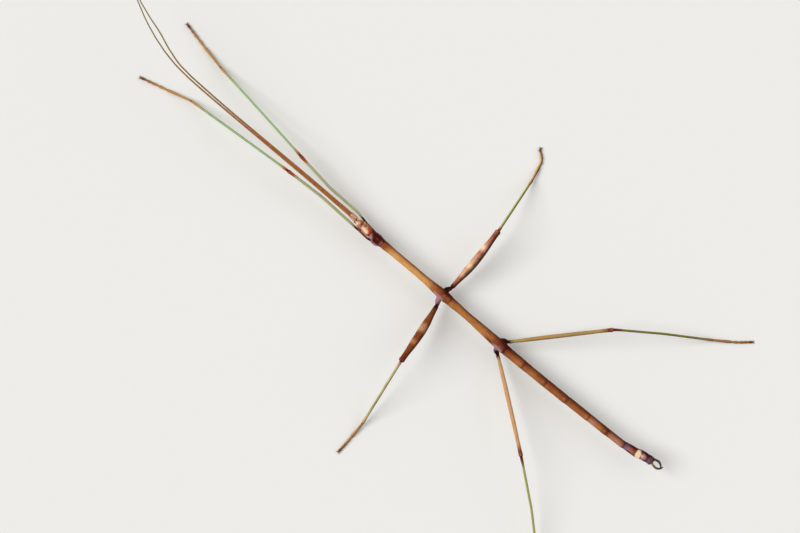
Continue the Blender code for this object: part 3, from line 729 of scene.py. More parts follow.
def add_feelers(skin, sizes):
    """Each feeler: a flattened first joint, a bead, and a thread of many rings."""
    head_front = solid_box("head")[0][1]
    for side_name, side in SIDES.items():
        near = np.array([0.0, head_front, 4.0])
        centres = []
        for part in FEELER_PARTS:
            centres.append(limb_core(f"antenna_{side_name}_{part}", near)[0])
            near = centres[-1][-1]
        knots = np.concatenate(centres)
        knots[len(SHARES):, 0] -= side * 0.10  # the threads lie close together
        along = lengths_along(knots)
        root = knots[0] - unit(knots[2] - knots[0]) * BURIED
        scape_end = lengths_along(centres[0])[-1] + 0.05

        length = scape_end + BURIED
        places, cap = rounded(length, 0.07, 0.2, 0.16)
        line = curve(along, knots, np.clip(places - BURIED, 0, None))
        inside = places < BURIED
        line[inside] = root + (knots[0] - root) * (places[inside] / BURIED)[:, None]
        shape = curve((*SCAPE[0], length), (*SCAPE[1], SCAPE_END), places)
        skin.add("skin_feeler", line, shape * cap * 1.04, shape * cap * 0.88, sizes.leg_sides,
                 along=(0.0, 0.03), crease=lambda _, place, angle: 0.8 * bell(place - 0.52, 0.08))

        places, cap = rounded(BEAD_LENGTH, 0.05, 0.14, 0.14)
        line = curve(along, knots, places + scape_end - 0.06)
        skin.add("skin_feeler", line, BEAD_WIDTH * cap, BEAD_HEIGHT * cap, sizes.leg_sides,
                 along=(0.03, 0.04))
        add_thread(skin, sizes, knots, scape_end + 0.30)


def add_thread(skin, sizes, knots, start):
    """The thread of a feeler, whose rings grow longer over its first part."""
    along = lengths_along(knots)
    length = along[-1] - start
    rings = [0.0]
    while rings[-1] < length:
        rings.append(rings[-1] + 0.50 + 1.05 * min(1.0, rings[-1] / 16.0))
    rings = np.array(rings[:-1])
    places, cap = rounded(length, 0.115, 0.1, 0.2)
    slimmer = (sizes.feeler_tip - sizes.feeler_base) / MM
    thick = sizes.feeler_base / MM + slimmer * (places / length)

    def past_ring(place):
        return place - rings[np.clip(np.searchsorted(rings, place) - 1, 0, None)]

    def relief(_, place, angle):
        gap = past_ring(place)
        return thick[:, None] * (0.05 * fade(gap, 0.0, 1.0) - 0.13 * bell(gap, 0.06))

    skin.add("skin_feeler", curve(along, knots, start + places), thick * cap, thick * cap, 12,
             relief=relief, along=(0.04, 1.0),
             crease=lambda _, place, angle: 0.7 * bell(past_ring(place), 0.09))


def leg_part(skin, sizes, slot, part, knots, radii, fit, lee, seed, knee=0.0, swell=0.0,
             waist=0.0):
    """One smooth part of a leg from joint to joint.

    The knee is the height of the lobes at its far end, swell thickens the end towards the body,
    and waist is the depth of the ring near a hip's end.
    """
    knots = knots.copy()
    for end, beside in ((0, 1), (-1, -2)):  # neighbours reach into each other
        knots[end] += unit(knots[end] - knots[beside]) * 0.11
    along = lengths_along(knots)
    length = along[-1]
    caps = [min(0.34, 0.9 * radii[end] * fit) for end in (0, -1)]
    places, cap = rounded(length, sizes.ring_step / MM, *caps)
    ring = 0.66 * length
    shape = curve(along, radii, places) * fit * cap
    shape = shape * (1 + swell * fade(-places / length, -0.20, -0.06))
    pinch, lip = bell(places - ring, 0.10), bell(places - ring + 0.3, 0.2)
    shape = shape * (1 - waist * pinch + 0.5 * waist * lip)
    rough = 1.0 + 14.0 * waist
    keel, wrinkle = sizes.keel_height / MM * rough, sizes.wrinkle_height / MM * 0.7 * rough

    def relief(share, place, angle):
        ends = fade(share, 0.02, 0.10) * fade(1 - share, 0.02, 0.08)
        keels = sum(around(angle, at, 11) for at in (32, -32, 140, -140, 180))
        total = keels * keel * ends - 0.35 * keel * ends
        total = total + knee * bell(share - 0.978, 0.014) * flanks(angle, 95, 34)
        return total + wrinkle * unevenness(place, angle, (1.6, 0.9, 1.6), seed)

    def crease(_, place, angle):
        ends = bell(place - 0.20, 0.12) + bell(length - place - 0.08, 0.12)
        return 0.9 * ends + 6.0 * waist * bell(place - ring, 0.07)

    skin.add(slot, curve(along, knots, places), shape, shape, sizes.leg_sides, relief=relief,
             along=LEG_SPANS[part], lee=lee, crease=crease)


def add_spine(skin, sizes, slot, at, outward):
    """Short thorn under the end of a femur."""
    length = sizes.spine_length / MM
    steps = np.linspace(0.0, 1.0, 9)[:, None]
    line = at - UP * length * steps + outward * 0.30 * length * steps**2
    radius = 0.10 * (1 - steps[:, 0]) ** 0.8 + 0.006
    skin.add(slot, line, radius, radius, 10, along=(0.40, 0.43), upward=outward)


def add_foot(skin, sizes, slot, centres, lee):
    """Five foot segments, each widening to its end, with soft pads below."""
    along = lengths_along(centres)
    length = along[-1]
    wide = sizes.foot_radius / MM
    resting = wide * 0.92  # height at which the far segments lie on the floor
    low, high = LEG_SPANS["tarsus"]
    for start, end in zip(TARSOMERES[:-1], TARSOMERES[1:]):
        first = start * length - (0.10 if start else 0.0)
        span = min(end * length + 0.06, length) - first
        places, cap = rounded(span, 0.07, 0.12, 0.13)
        line = curve(along, centres, first + places)
        neck = 0.62 if start else 0.80
        widening = neck + (1 - neck) * fade(places / places[-1], 0.1, 0.9)
        shape = wide * widening * (1.0 if end < 1 else 0.94) * cap
        line[:, 2] -= (line[:, 2] - resting) * fade((first + places) / length, 0.30, 0.60)
        marks = low + (high - low) * start, low + (high - low) * end

        def crease(_, place, angle, span=span):
            return 0.9 * bell(place - 0.08, 0.08) + 0.7 * bell(span - place, 0.06)

        skin.add(slot, line, shape, shape * 0.94, 16, along=marks, lee=lee, crease=crease)
        if end < 1:
            spot, joint = curve(along, centres, (end * length - 0.16, end * length))
            ahead = unit((joint - spot) * (1.0, 1.0, 0.0))
            spot[2] += (resting - spot[2]) * fade(end, 0.30, 0.60)
            places, cap = rounded(PAD_LENGTH, 0.04, 0.16, 0.16)
            line = spot - UP * wide * 0.55 + ahead * (places - PAD_LENGTH / 2)[:, None]
            skin.add(slot, line, PAD_RADIUS * cap, PAD_RADIUS * cap * 0.85, 12,
                     along=(marks[1] - 0.01, marks[1]), lee=lee, mark=lambda *_: 0.8)


def add_legs(skin, sizes, trunk):
    """All six legs from hip to foot; the claws are pieces of their own."""
    for pair_number, pair in enumerate(PAIRS):
        for side_name, side in SIDES.items():
            name, slot = f"leg_{pair}_{side_name}_", f"skin_{pair}_{side_name}"
            near = near_trunk(trunk, solid_box(name + "coxa")[2][1]) + (0.0, 0.6, 0.0)
            parts = {}
            for part in LEG_PARTS:
                parts[part] = limb_core(name + part, near)
                near = parts[part][0][-1]
            joints = [(parts[before][0][-1] + parts[after][0][0]) / 2
                      for before, after in zip(LEG_PARTS[:-1], LEG_PARTS[1:])]
            # Painted shade falls on the side away from the light: the right side of the fore legs,
            # the tail side of the others.
            lee = 1.0 if pair == "fore" else -side
            seed = 11.0 * pair_number + 3.0 * side

            if pair == "fore":  # the front hips and femur roots lie close against the neck
                close = 1 - fade(np.array(SHARES), 0.10, 0.30)
                parts["coxa"][0][:, 0] -= side * 0.16
                joints[0][0] -= side * 0.18
                parts["femur"][0][:, 0] -= side * 0.16 * close
                parts["femur"][0][:, 2] -= 0.40 * close
                parts["femur"][1][:] *= 1 - 0.30 * close
            centres, radii = parts["coxa"]
            root = centres[0] + unit(centres[0] - centres[-1]) * 0.55
            root = root + (near_trunk(trunk, root[1]) - root) * 0.45
            knots = np.concatenate([[root], centres[2:-2], [joints[0]]])
            widths = np.concatenate([[radii[4] * 1.05], radii[2:-2], [radii[-2]]])
            leg_part(skin, sizes, slot, "coxa", knots, widths, FIT[pair]["coxa"], lee, seed,
                     waist=0.14)

            for part, start, end in zip(("femur", "tibia"), joints[:-1], joints[1:]):
                centres, radii = parts[part]
                knots = np.concatenate([[start], centres[1:-1], [end]])
                widths = np.concatenate([[radii[1]], radii[1:-1], [radii[-2]]])
                fit = FIT[pair][part]
                lobes = {"knee": 0.035, "swell": SWELL[pair]} if part == "femur" else {}
                leg_part(skin, sizes, slot, part, knots, widths, fit, lee, seed + 1.7, **lobes)
                if part == "femur" and pair != "fore":
                    at = centres[-4] - UP * radii[-4] * fit * 0.8
                    add_spine(skin, sizes, slot, at, unit(centres[-2] - centres[-5]))
            foot = np.concatenate([[joints[2]], parts["tarsus"][0][1:]])
            add_foot(skin, sizes, slot, foot, lee)


# ---------------------------------------------------------------- materials


class Recipe:
    """Small helper that wires a node material."""

    def __init__(self, name):
        self.material = bpy.data.materials.new(name)
        self.material.use_nodes = True
        self.tree = self.material.node_tree
        self.shader = self.tree.nodes["Principled BSDF"]

    def put(self, socket, value):
        """Links an output to a socket, or sets the socket's own value."""
        if isinstance(value, bpy.types.NodeSocket):
            self.tree.links.new(value, socket)
        else:
            socket.default_value = value

    def node(self, kind, inputs=(), **settings):
        """A node with its settings, and with its inputs by name or number."""
        made = self.tree.nodes.new("ShaderNode" + kind)
        for name, value in settings.items():
            setattr(made, name, value)
        for name, value in dict(inputs).items():
            self.put(made.inputs[name], value)
        return made

    def field(self, name, output="Fac"):
        return self.node("Attribute", attribute_name=name).outputs[output]

    def maths(self, operation, *values):
        return self.node("Math", enumerate(values), operation=operation).outputs["Value"]

    def times(self, first, second):
        return self.maths("MULTIPLY", first, second)

    def shifted(self, value, grain, amount):
        """A value pushed up and down by noise."""
        return self.maths("MULTIPLY_ADD", self.maths("SUBTRACT", grain, 0.5), amount, value)

    def mix(self, factor, first, second, mode="MIX"):
        inputs = {0: factor, 6: first, 7: second}
        return self.node("Mix", inputs, data_type="RGBA", blend_type=mode).outputs[2]

    def filtered(self, colour, red, green, blue):
        """A colour made brighter or darker channel by channel."""
        return self.mix(1.0, colour, (red, green, blue, 1.0), "MULTIPLY")

    def covered(self, colour, over, factor, amount):
        """A colour with another laid over it, by factor times amount."""
        return self.mix(self.times(factor, amount), colour, over)

    def span(self, value, low, high, start=0.0, end=1.0):
        """Smooth step of a value between low and high."""
        inputs = {"Value": value, "From Min": low, "From Max": high, "To Min": start,
                  "To Max": end}
        return self.node("MapRange", inputs, interpolation_type="SMOOTHSTEP").outputs["Result"]

    def stretched(self, vector, scale):
        return self.node("Mapping", {"Vector": vector, "Scale": scale}).outputs["Vector"]

    def noise(self, vector, scale, detail=3.0, roughness=0.55):
        inputs = {"Vector": vector, "Scale": scale, "Detail": detail, "Roughness": roughness}
        return self.node("TexNoise", inputs).outputs["Fac"]

    def cells(self, vector, scale):
        inputs = {"Vector": vector, "Scale": scale}
        return self.node("TexVoronoi", inputs, feature="F1").outputs["Distance"]

    def ramp(self, factor, stops):
        """Bands of colour from rising stops."""
        made = self.node("ValToRGB", {"Fac": factor})
        made.color_ramp.interpolation = "EASE"
        elements = made.color_ramp.elements
        while len(elements) < len(stops):
            elements.new(1.0)
        for element, (place, colour) in zip(elements, stops):
            element.position = place
            element.color = opaque(colour)
        return made.outputs["Color"]

    def bump(self, height, share, distance, **under):
        """Bumps of a depth in millimetres, over another normal if one is given."""
        inputs = {"Strength": share, "Distance": distance * MM, "Height": height, **under}
        return self.node("Bump", inputs).outputs["Normal"]

    def finished(self, sockets):
        """The material, with the shader's sockets filled."""
        for name, value in sockets.items():
            self.put(self.shader.inputs[name], value)
        return self.material


def opaque(colour):
    return (*colour, 1.0)


def blend(first, second, share):
    return tuple(a + (b - a) * share for a, b in zip(first, second))


def tone(tones, first, second=None, share=0.0):
    """A named colour, or a blend of two."""
    return blend(tones[first], tones[second], share) if second else tones[first]


def bands(tones, rows, low=0.0, high=1.0):
    """Colour stops between low and high, from rows of place, tone and, in a blend, a second."""
    return [(low + (high - low) * place, tone(tones, *names)) for place, *names in rows]


def cuticle(name, stops, tones, *, shade, lee, lit=(1.0, 1.0, 1.0), flank_shade=0.35, streaks=0.30,
            dots=0.35, blotch=0.35, wobble=0.02, gloss=(0.36, 0.54)):
    """Living cuticle: colour bands along the part, streaks, dots and grain, with painted light on
    the lit side and painted shade on the far side and underside.
    """
    recipe = Recipe(name)
    shade = opaque(tones[shade])
    flow = recipe.field("flow", "Vector")
    lengthwise = recipe.stretched(flow, (0.22, 1.0, 1.0))
    along = recipe.shifted(recipe.field("along"), recipe.noise(flow, 0.8, 2.0), wobble)
    colour = recipe.ramp(along, stops)

    mottle = recipe.span(recipe.noise(flow, 1.7, 4.0, 0.6), 0.35, 0.72)
    warm = recipe.filtered(colour, 1.20, 1.12, 1.02)
    colour = recipe.covered(colour, warm, mottle, 0.6)
    patches = recipe.noise(recipe.stretched(flow, (0.6, 1.0, 1.0)), 1.15, 4.0, 0.65)
    threads = recipe.span(recipe.noise(lengthwise, 5.5, 3.0, 0.6), 0.48, 0.72)
    for factor, amount in ((recipe.span(patches, 0.50, 0.66), blotch), (threads, streaks)):
        colour = recipe.covered(colour, recipe.filtered(colour, 0.50, 0.38, 0.30), factor, amount)
    speck = recipe.span(recipe.cells(flow, 5.2), 0.20, 0.10)
    sparse = recipe.span(recipe.noise(flow, 2.3, 2.0), 0.46, 0.58)
    colour = recipe.covered(colour, shade, recipe.times(speck, sparse), dots)

    side = recipe.field("lee")
    # Painted light: the side towards the light is brightened by the lit factors.
    colour = recipe.mix(recipe.span(side, 0.1, -0.6), colour, recipe.filtered(colour, *lit))
    # Painted shade on the side away from the light, in the shade tone.
    start, end, depth = lee
    soft = recipe.span(recipe.shifted(side, threads, 0.30), start, end)
    colour = recipe.covered(colour, shade, soft, depth)
    # Painted shade on the underside and low flanks.
    below = recipe.span(recipe.field("top"), 0.35, -0.55)
    colour = recipe.covered(colour, shade, below, flank_shade)
    ragged = recipe.noise(flow, 4.2, 5.0, 0.7)
    # Marks over the colour: the dark ones include painted shade, the pale and mauve ones painted
    # highlights.
    for field, rough_edge, over in (("bloom", 1.8, "mauve"), ("rust", 2.6, "rust"),
                                    ("crease", 1.6, "maroon"), ("mark", 2.4, "cream")):
        amount = recipe.times(recipe.field(field), recipe.shifted(1.0, ragged, rough_edge))
        amount = recipe.span(amount, 0.06, 0.85)
        colour = recipe.covered(colour, opaque(tones[over]), amount, 0.94)

    grain = recipe.noise(flow, 17.0, 4.0, 0.65)
    pits = recipe.bump(recipe.span(recipe.cells(flow, 9.0), 0.0, 0.5), 0.35, 0.006)
    lines = recipe.bump(recipe.noise(lengthwise, 8.0), 0.6, 0.018, Normal=pits)
    return recipe.finished({
        "Base Color": colour,
        "Roughness": recipe.span(grain, 0.3, 0.75, *gloss),
        "Coat Weight": 0.02,
        "Coat Roughness": 0.25,
        "Specular IOR Level": 0.05,
        "Normal": recipe.bump(grain, 0.45, 0.006, Normal=lines),
    })


# Bands of colour: place along the part, then a tone, or two tones and the second one's share.
TRUNK_BANDS = {
    "head": (
        (0.0, "maroon"), (0.17, "rust"), (0.22, "rose"), (0.30, "ochre", "pink", 0.5),
        (0.40, "pink", "ochre", 0.3), (0.54, "pink", "ochre", 0.4), (0.66, "pink", "rose", 0.5),
        (0.74, "rose"), (0.82, "rose", "pink", 0.4), (0.92, "tan", "pink", 0.6),
        (1.0, "tan", "pink", 0.5),
    ),
    "thorax": (
        (0.0, "rose"), (0.012, "rose"), (0.026, "maroon"), (0.066, "maroon"),
        (0.080, "maroon", "rose", 0.5), (0.094, "brown"), (0.112, "brown"),
        (0.130, "brown", "tan", 0.35), (0.160, "brown", "tan", 0.85),
        (0.185, "tan", "ochre", 0.08), (0.40, "tan", "ochre", 0.12), (0.43, "tan", "ochre", 0.4),
        (0.465, "ochre", "brown", 0.4), (0.495, "brown"), (0.53, "brown", "umber", 0.4),
        (0.572, "brown", "umber", 0.1), (0.61, "brown", "ochre", 0.8), (0.645, "ochre"),
        (0.80, "ochre"), (0.83, "ochre", "tan", 0.15), (0.855, "ochre", "rose", 0.3),
        (0.89, "brown", "ochre", 0.6), (0.92, "brown", "umber", 0.5), (0.955, "umber"),
        (1.0, "umber", "maroon", 0.5),
    ),
    # The plum and mauve blend at 0.94 is a painted reflection on the ninth segment.
    "abdomen": (
        (0.0, "umber"), (0.035, "umber", "brown", 0.5), (0.07, "brown"), (0.10, "warm"),
        (0.135, "dusky"), (0.20, "warm"), (0.28, "dusky"), (0.34, "brown"), (0.43, "dusky"),
        (0.48, "brown"), (0.54, "brown"), (0.58, "warm"), (0.61, "warm", "mauve", 0.3),
        (0.65, "warm"), (0.705, "umber"), (0.74, "warm", "mauve", 0.2),
        (0.785, "warm", "mauve", 0.25), (0.808, "rose"), (0.818, "plum"),
        (0.845, "plum", "mauve", 0.3), (0.862, "rose", "maroon", 0.15),
        (0.884, "rose", "maroon", 0.4), (0.895, "umber"), (0.925, "umber"),
        (0.94, "plum", "mauve", 0.5), (0.958, "plum"), (0.975, "plum"),
        (1.0, "plum", "maroon", 0.5),
    ),
    "feeler": (
        (0.0, "pink"), (0.018, "pink", "brown", 0.3), (0.035, "orange"), (0.30, "orange"),
        (0.60, "orange", "dun", 0.6), (0.85, "dun"), (1.0, "dun"),
    ),
}
FOOT_BANDS = ((0.0, "foot"), (0.6, "foot"), (0.85, "foot", "umber", 0.4), (1.0, "umber"))
MID_SHIN = ((0.02, "rose"), (0.05, "honey"), (0.14, "moss"), (0.85, "moss"), (0.95, "honey"))
FORE_LEG = {
    "coxa": ((0.0, "hip"), (0.9, "hip")),
    "femur": (
        (0.0, "black_and_shade"), (0.06, "umber"), (0.15, "umber"), (0.19, "black_and_shade"),
        (0.22, "umber", "thigh", 0.7), (0.26, "thigh"), (0.88, "thigh"), (0.94, "rust"),
        (0.98, "brown"),
    ),
    "tibia": (
        (0.02, "brown"), (0.05, "honey"), (0.10, "shin"), (0.80, "shin"),
        (0.90, "shin", "honey", 0.6), (0.97, "honey"),
    ),
}
# The right mid hip's maroon and near black are painted shade; the left one's mauve is partly
# painted light.
MID_RIGHT_LEG = {
    "coxa": ((0.0, "maroon"), (0.4, "black_and_shade"), (0.9, "black_and_shade")),
    "femur": (
        (0.03, "black_and_shade"), (0.09, "rose"), (0.16, "brown", "pink", 0.2), (0.24, "pink", "rose", 0.3),
        (0.31, "rose", "pink", 0.5), (0.39, "pink", "cream", 0.3), (0.46, "pink", "rose", 0.4),
        (0.54, "rose", "pink", 0.4), (0.61, "rose", "pink", 0.15), (0.69, "pink", "cream", 0.2),
        (0.76, "rose", "pink", 0.3), (0.84, "rose"), (0.91, "rose", "maroon", 0.35),
        (0.98, "rose"),
    ),
    "tibia": MID_SHIN,
}
MID_LEFT_LEG = {
    "coxa": ((0.0, "mauve"), (0.6, "mauve"), (0.9, "black_and_shade")),
    "femur": (
        (0.03, "black_and_shade"), (0.10, "umber"), (0.16, "umber", "ochre", 0.25), (0.24, "brown"),
        (0.315, "brown"), (0.38, "ochre", "pink", 0.35), (0.46, "ochre", "pink", 0.45),
        (0.53, "brown", "umber", 0.3), (0.61, "brown", "maroon", 0.15),
        (0.685, "tan", "ochre", 0.6), (0.75, "brown", "umber", 0.4),
        (0.84, "brown", "umber", 0.4), (0.91, "maroon", "rust", 0.45), (0.98, "umber"),
    ),
    # The left mid tibia is a lighter copy of the right one: painted light.
    "tibia": tuple((*band, "cream", 0.20) for band in MID_SHIN),
}
HIND_LEG = {
    "coxa": ((0.0, "hip"), (0.4, "hip", "black_and_shade", 0.3), (0.6, "black_and_shade"), (0.9, "black_and_shade")),
    "femur": (
        (0.015, "black_and_shade"), (0.035, "umber", "thigh", 0.5), (0.07, "thigh", "moss", 0.4),
        (0.22, "thigh"), (0.86, "thigh"), (0.915, "brown", "thigh", 0.4), (0.95, "umber"),
        (0.985, "rose"),
    ),
    "tibia": (
        (0.0, "maroon"), (0.04, "umber"), (0.12, "shin"), (0.80, "shin"),
        (0.95, "shin", "foot", 0.6),
    ),
}

# Each leg's bands and the tones of its own parts; a foot is honey unless it says otherwise.
# The left hips' mauve is partly painted light and the right hips' maroon painted shade; the left
# fore leg's darkened tones are painted shade.
LEGS = {
    "fore_left": (FORE_LEG, {"hip": ("mauve",), "thigh": ("black_and_shade", "grey_green", 0.86),
                             "shin": ("black_and_shade", "leaf_green", 0.86)}),
    "fore_right": (FORE_LEG, {"hip": ("maroon",), "thigh": ("grey_green",),
                              "shin": ("leaf_green",)}),
    "mid_left": (MID_LEFT_LEG, {}),
    "mid_right": (MID_RIGHT_LEG, {}),
    "hind_left": (HIND_LEG, {"hip": ("mauve",), "thigh": ("sand",),
                             "shin": ("fresh", "olive", 0.3)}),
    "hind_right": (HIND_LEG, {"hip": ("maroon",), "thigh": ("sand", "olive", 0.42),
                              "shin": ("olive",), "foot": ("honey", "umber", 0.4)}),
}

# Tone of the painted shade, how the side away from the light darkens (from, to, depth) and what
# else is special, such as painted light on the lit side.
SLIM = {"flank_shade": 0.25, "dots": 0.15, "blotch": 0.2, "streaks": 0.25}
SWOLLEN = {"flank_shade": 0.4, "dots": 0.4, "blotch": 0.45, "streaks": 0.45}
FORE_FINISH = {"shade": "drab", "lee": (0.1, 1.0, 0.45), **SLIM}
HIND_FINISH = {"shade": "bark", "lee": (0.0, 1.0, 0.5), **SLIM}
FINISHES = {
    "head": {"shade": "fawn", "lee": (-0.25, 0.6, 0.72), "dots": 0.9, "blotch": 0.6,
             "streaks": 0.45, "wobble": 0.05},
    "thorax": {"shade": "bark", "lee": (-0.25, 1.0, 0.85), "lit": (0.97, 1.13, 1.22),
               "flank_shade": 0.5, "wobble": 0.012},
    "abdomen": {"shade": "bark", "lee": (-0.45, 0.95, 0.93), "lit": (1.18, 1.50, 1.60),
                "flank_shade": 0.5, "wobble": 0.010},
    "feeler": {"shade": "umber", "lee": (0.0, 1.0, 0.3), "flank_shade": 0.25, "dots": 0.1,
               "blotch": 0.25, "gloss": (0.45, 0.62)},
    "fore_left": FORE_FINISH,
    "fore_right": FORE_FINISH,
    "mid_left": {"shade": "bark", "lee": (-0.3, 0.9, 0.9), **SWOLLEN},
    "mid_right": {"shade": "bark", "lee": (-0.45, 0.6, 0.92), "lit": (1.25, 1.36, 1.40),
                  **SWOLLEN},
    "hind_left": HIND_FINISH,
    "hind_right": HIND_FINISH,
}


def skin_materials(colours):
    """A cuticle for each stretch of the skin."""
    tones = {name: tuple(getattr(colours, name)) for name in WalkingstickColours.__annotations__}
    for name, *parts in (("dusky", "brown", "umber", 0.35), ("warm", "brown", "ochre", 0.4),
                         ("fawn", "umber", "ochre", 0.55), ("drab", "bark", "olive", 0.55),
                         ("fresh", "moss", "leaf_green", 0.3)):
        tones[name] = tone(tones, *parts)
    stops = {name: bands(tones, rows) for name, rows in TRUNK_BANDS.items()}
    for name, (parts, own) in LEGS.items():
        leg = {**tones, "foot": tones["honey"]}
        leg.update({part: tone(tones, *names) for part, names in own.items()})
        stops[name] = []
        for part, rows in {**parts, "tarsus": FOOT_BANDS}.items():
            stops[name] += bands(leg, rows, *LEG_SPANS[part])
    return [cuticle("skin_" + name, stops[name], tones, **finish)
            for name, finish in FINISHES.items()]


def horn_material(name, root, tip, roughness=0.28):
    """Hard shiny horn that darkens towards the tip, by the "along" field."""
    recipe = Recipe(name)
    grain = recipe.noise(recipe.stretched(recipe.field("flow", "Vector"), (0.4, 1, 1)), 14.0)
    share = recipe.shifted(recipe.field("along"), grain, 0.3)
    colour = recipe.ramp(share, [(0.05, root), (0.75, tip), (1.0, tip)])
    return recipe.finished({
        "Base Color": recipe.covered(colour, (0.62, 0.42, 0.30, 1.0), recipe.field("mark"), 0.6),
        "Roughness": recipe.span(grain, 0.3, 0.7, roughness * 0.8, roughness * 1.3),
        "Specular IOR Level": 0.3,
        "Coat Weight": 0.1,
        "Coat Roughness": 0.15,
        "Normal": recipe.bump(grain, 0.35, 0.006),
    })


def eye_material(colours):
    """Compound eye: fine facets under a clear shine, darker in the middle."""
    recipe = Recipe("eye_facets")
    flow = recipe.field("flow", "Vector")
    facets = recipe.cells(flow, 34.0)
    patches = recipe.noise(recipe.stretched(flow, (1.0, 1.0, 2.6)), 3.2, 2.0)
    colour = recipe.mix(recipe.span(patches, 0.40, 0.62), opaque(colours.eye),
                        opaque(colours.maroon))
    rim = recipe.span(recipe.field("along"), 0.30, 0.02)
    colour = recipe.covered(colour, opaque(colours.rose), rim, 0.55)
    gaps = recipe.span(facets, 0.35, 0.65, 0.0, 0.5)
    return recipe.finished({
        "Base Color": recipe.mix(gaps, colour, (0.01, 0.004, 0.003, 1.0)),
        "Roughness": 0.18,
        "Specular IOR Level": 0.25,
        "Coat Weight": 0.25,
        "Coat Roughness": 0.06,
        "Normal": recipe.bump(recipe.span(facets, 0.6, 0.0), 0.5, 0.004),
    })


# ---------------------------------------------------------------- operators


class WALKINGSTICK_OT_skin(bpy.types.Operator):
    """Builds the one skin over head, trunk, legs and feelers"""

    bl_idname = "walkingstick.skin"
    bl_label = "Skin"

    def execute(self, context):
        sizes = context.scene.walkingstick_sizes
        skin = Shell()
        add_head(skin, sizes)
        trunk = add_trunk(skin, sizes)
        add_genital_plate(skin, sizes)
        add_feelers(skin, sizes)
        add_legs(skin, sizes, trunk)
        obj = skin.build("skin", skin_materials(context.scene.walkingstick_colours))
        flesh = [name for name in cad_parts
                 if not name.startswith(("eye", "cercus", "mouth")) and not name.endswith("claws")]
        placed(obj, "cuticle_brown", *flesh)
        return {"FINISHED"}


class WALKINGSTICK_OT_eyes(bpy.types.Operator):
    """Builds the pair of round, faceted eyes"""

    bl_idname = "walkingstick.eyes"
    bl_label = "Eyes"

    def execute(self, context):
        material = eye_material(context.scene.walkingstick_colours)
        for side_name, side in SIDES.items():
            name = "eye_" + side_name
            low, high, centre = solid_box(name)
            across, deep, tall = (high - low) / 2
            places = stations(2 * across, 0.03, across * 0.999, across * 0.999)
            line = centre + np.outer(places - across, (side, 0.0, 0.0))
            cap = rounding(places, 2 * across, across, across)
            eye = Shell()
            eye.add("eye_facets", line, deep * cap, tall * cap, 40)
            placed(eye.build("eyeball_" + side_name, [material]), "eye_dark", name)
        return {"FINISHED"}


class WALKINGSTICK_OT_mouthparts(bpy.types.Operator):
    """Builds the lip, jaws and palps under the front of the head"""

    bl_idname = "walkingstick.mouthparts"
    bl_label = "Mouthparts"

    def execute(self, context):
        colours = context.scene.walkingstick_colours
        low, high, middle = solid_box("mouthparts")
        mouth = Shell()

        def strand(start, bend, end, radius, flatness, sides=16):
            steps = np.linspace(0.0, 1.0, 22)
            line = curve((0.0, 0.5, 1.0), np.array([start, bend, end]), steps)
            length = lengths_along(line)[-1]
            cap = min(radius, length * 0.45)
            shape = radius * rounding(steps * length, length, cap, cap)
            mouth.add("mouth_horn", line, shape, shape * flatness, sides)

        lip_back = np.array([middle[0], high[1] - 0.10, high[2] - 0.34])
        lip_front = np.array([middle[0], low[1] + 0.45, high[2] - 0.20])
        strand(lip_back, (lip_back + lip_front) / 2 - UP * 0.05, lip_front, 0.40, 0.62, 28)
        upper = lip_front + (0.0, 0.02, -0.10)
        strand(upper, upper + (0.0, -0.12, -0.13), upper + (0.0, -0.14, -0.30), 0.27, 0.45, 24)
        for side in SIDES.values():
            across = np.array([side, 0.0, 0.0])
            jaw = lip_front + across * 0.24 - UP * 0.12
            strand(jaw + (0.0, 0.35, 0.02), jaw, jaw + (-0.12 * side, -0.14, -0.18), 0.14, 0.8)
            root = lip_back + across * 0.26 + (0.0, -0.35, -0.18)
            knee = root + across * 0.08 + (0.0, -0.35, -0.16)
            tip = knee + (-0.06 * side, -0.32, -0.10)
            strand(root, (root + knee) / 2 + UP * 0.02, knee, 0.07, 0.9)
            strand(knee, (knee + tip) / 2 + across * 0.03, tip, 0.062, 0.9)
        material = horn_material("mouth_horn", colours.rose, colours.plum, 0.4)
        placed(mouth.build("mouth", [material]), "cuticle_plum", "mouthparts")
        return {"FINISHED"}


class WALKINGSTICK_OT_claspers(bpy.types.Operator):
    """Builds the pair of curved claspers that cross behind the tail"""

    bl_idname = "walkingstick.claspers"
    bl_label = "Claspers"

    # Shares of the solid's box: outwards, towards the tail, upwards; then the radius.
    LINE = (
        (0.58, -0.24, 0.62, 0.24),
        (0.70, 0.02, 0.62, 0.24),
        (0.80, 0.28, 0.60, 0.25),
        (0.78, 0.54, 0.56, 0.235),
        (0.56, 0.78, 0.50, 0.20),
        (0.30, 0.88, 0.46, 0.15),
        (0.08, 0.93, 0.44, 0.07),
    )

    def execute(self, context):
        colours = context.scene.walkingstick_colours
        for side_name, side in SIDES.items():
            node = "cercus_" + side_name
            low, high, _ = solid_box(node)
            knots = np.array(self.LINE)
            if side < 0:
                knots[:, 0] = 1 - knots[:, 0]
            places = np.linspace(0.0, 1.0, 64)
            knots_at = np.linspace(0.0, 1.0, len(knots))
            line = curve(knots_at, low + (high - low) * knots[:, :3], places)
            length = lengths_along(line)[-1]
            radius = curve(knots_at, knots[:, 3], places)
            radius = radius * rounding(places * length, length, 0.1, 0.07)

            def relief(share, _, angle, side=side):
                teeth = 0.02 * np.maximum(np.sin(share * 60), 0) * around(angle, -90 * side, 30)
                return teeth * fade(share, 0.45, 0.6) * fade(1 - share, 0.02, 0.1)

            name = "clasper_" + side_name
            root = colours.horn if side < 0 else colours.dun
            material = horn_material(name + "_horn", root, colours.horn)
            clasper = Shell()
            clasper.add(material.name, line, radius * 0.92, radius * 0.8, 24, relief=relief)
            placed(clasper.build(name, [material]), "claw_brown", node)
        return {"FINISHED"}


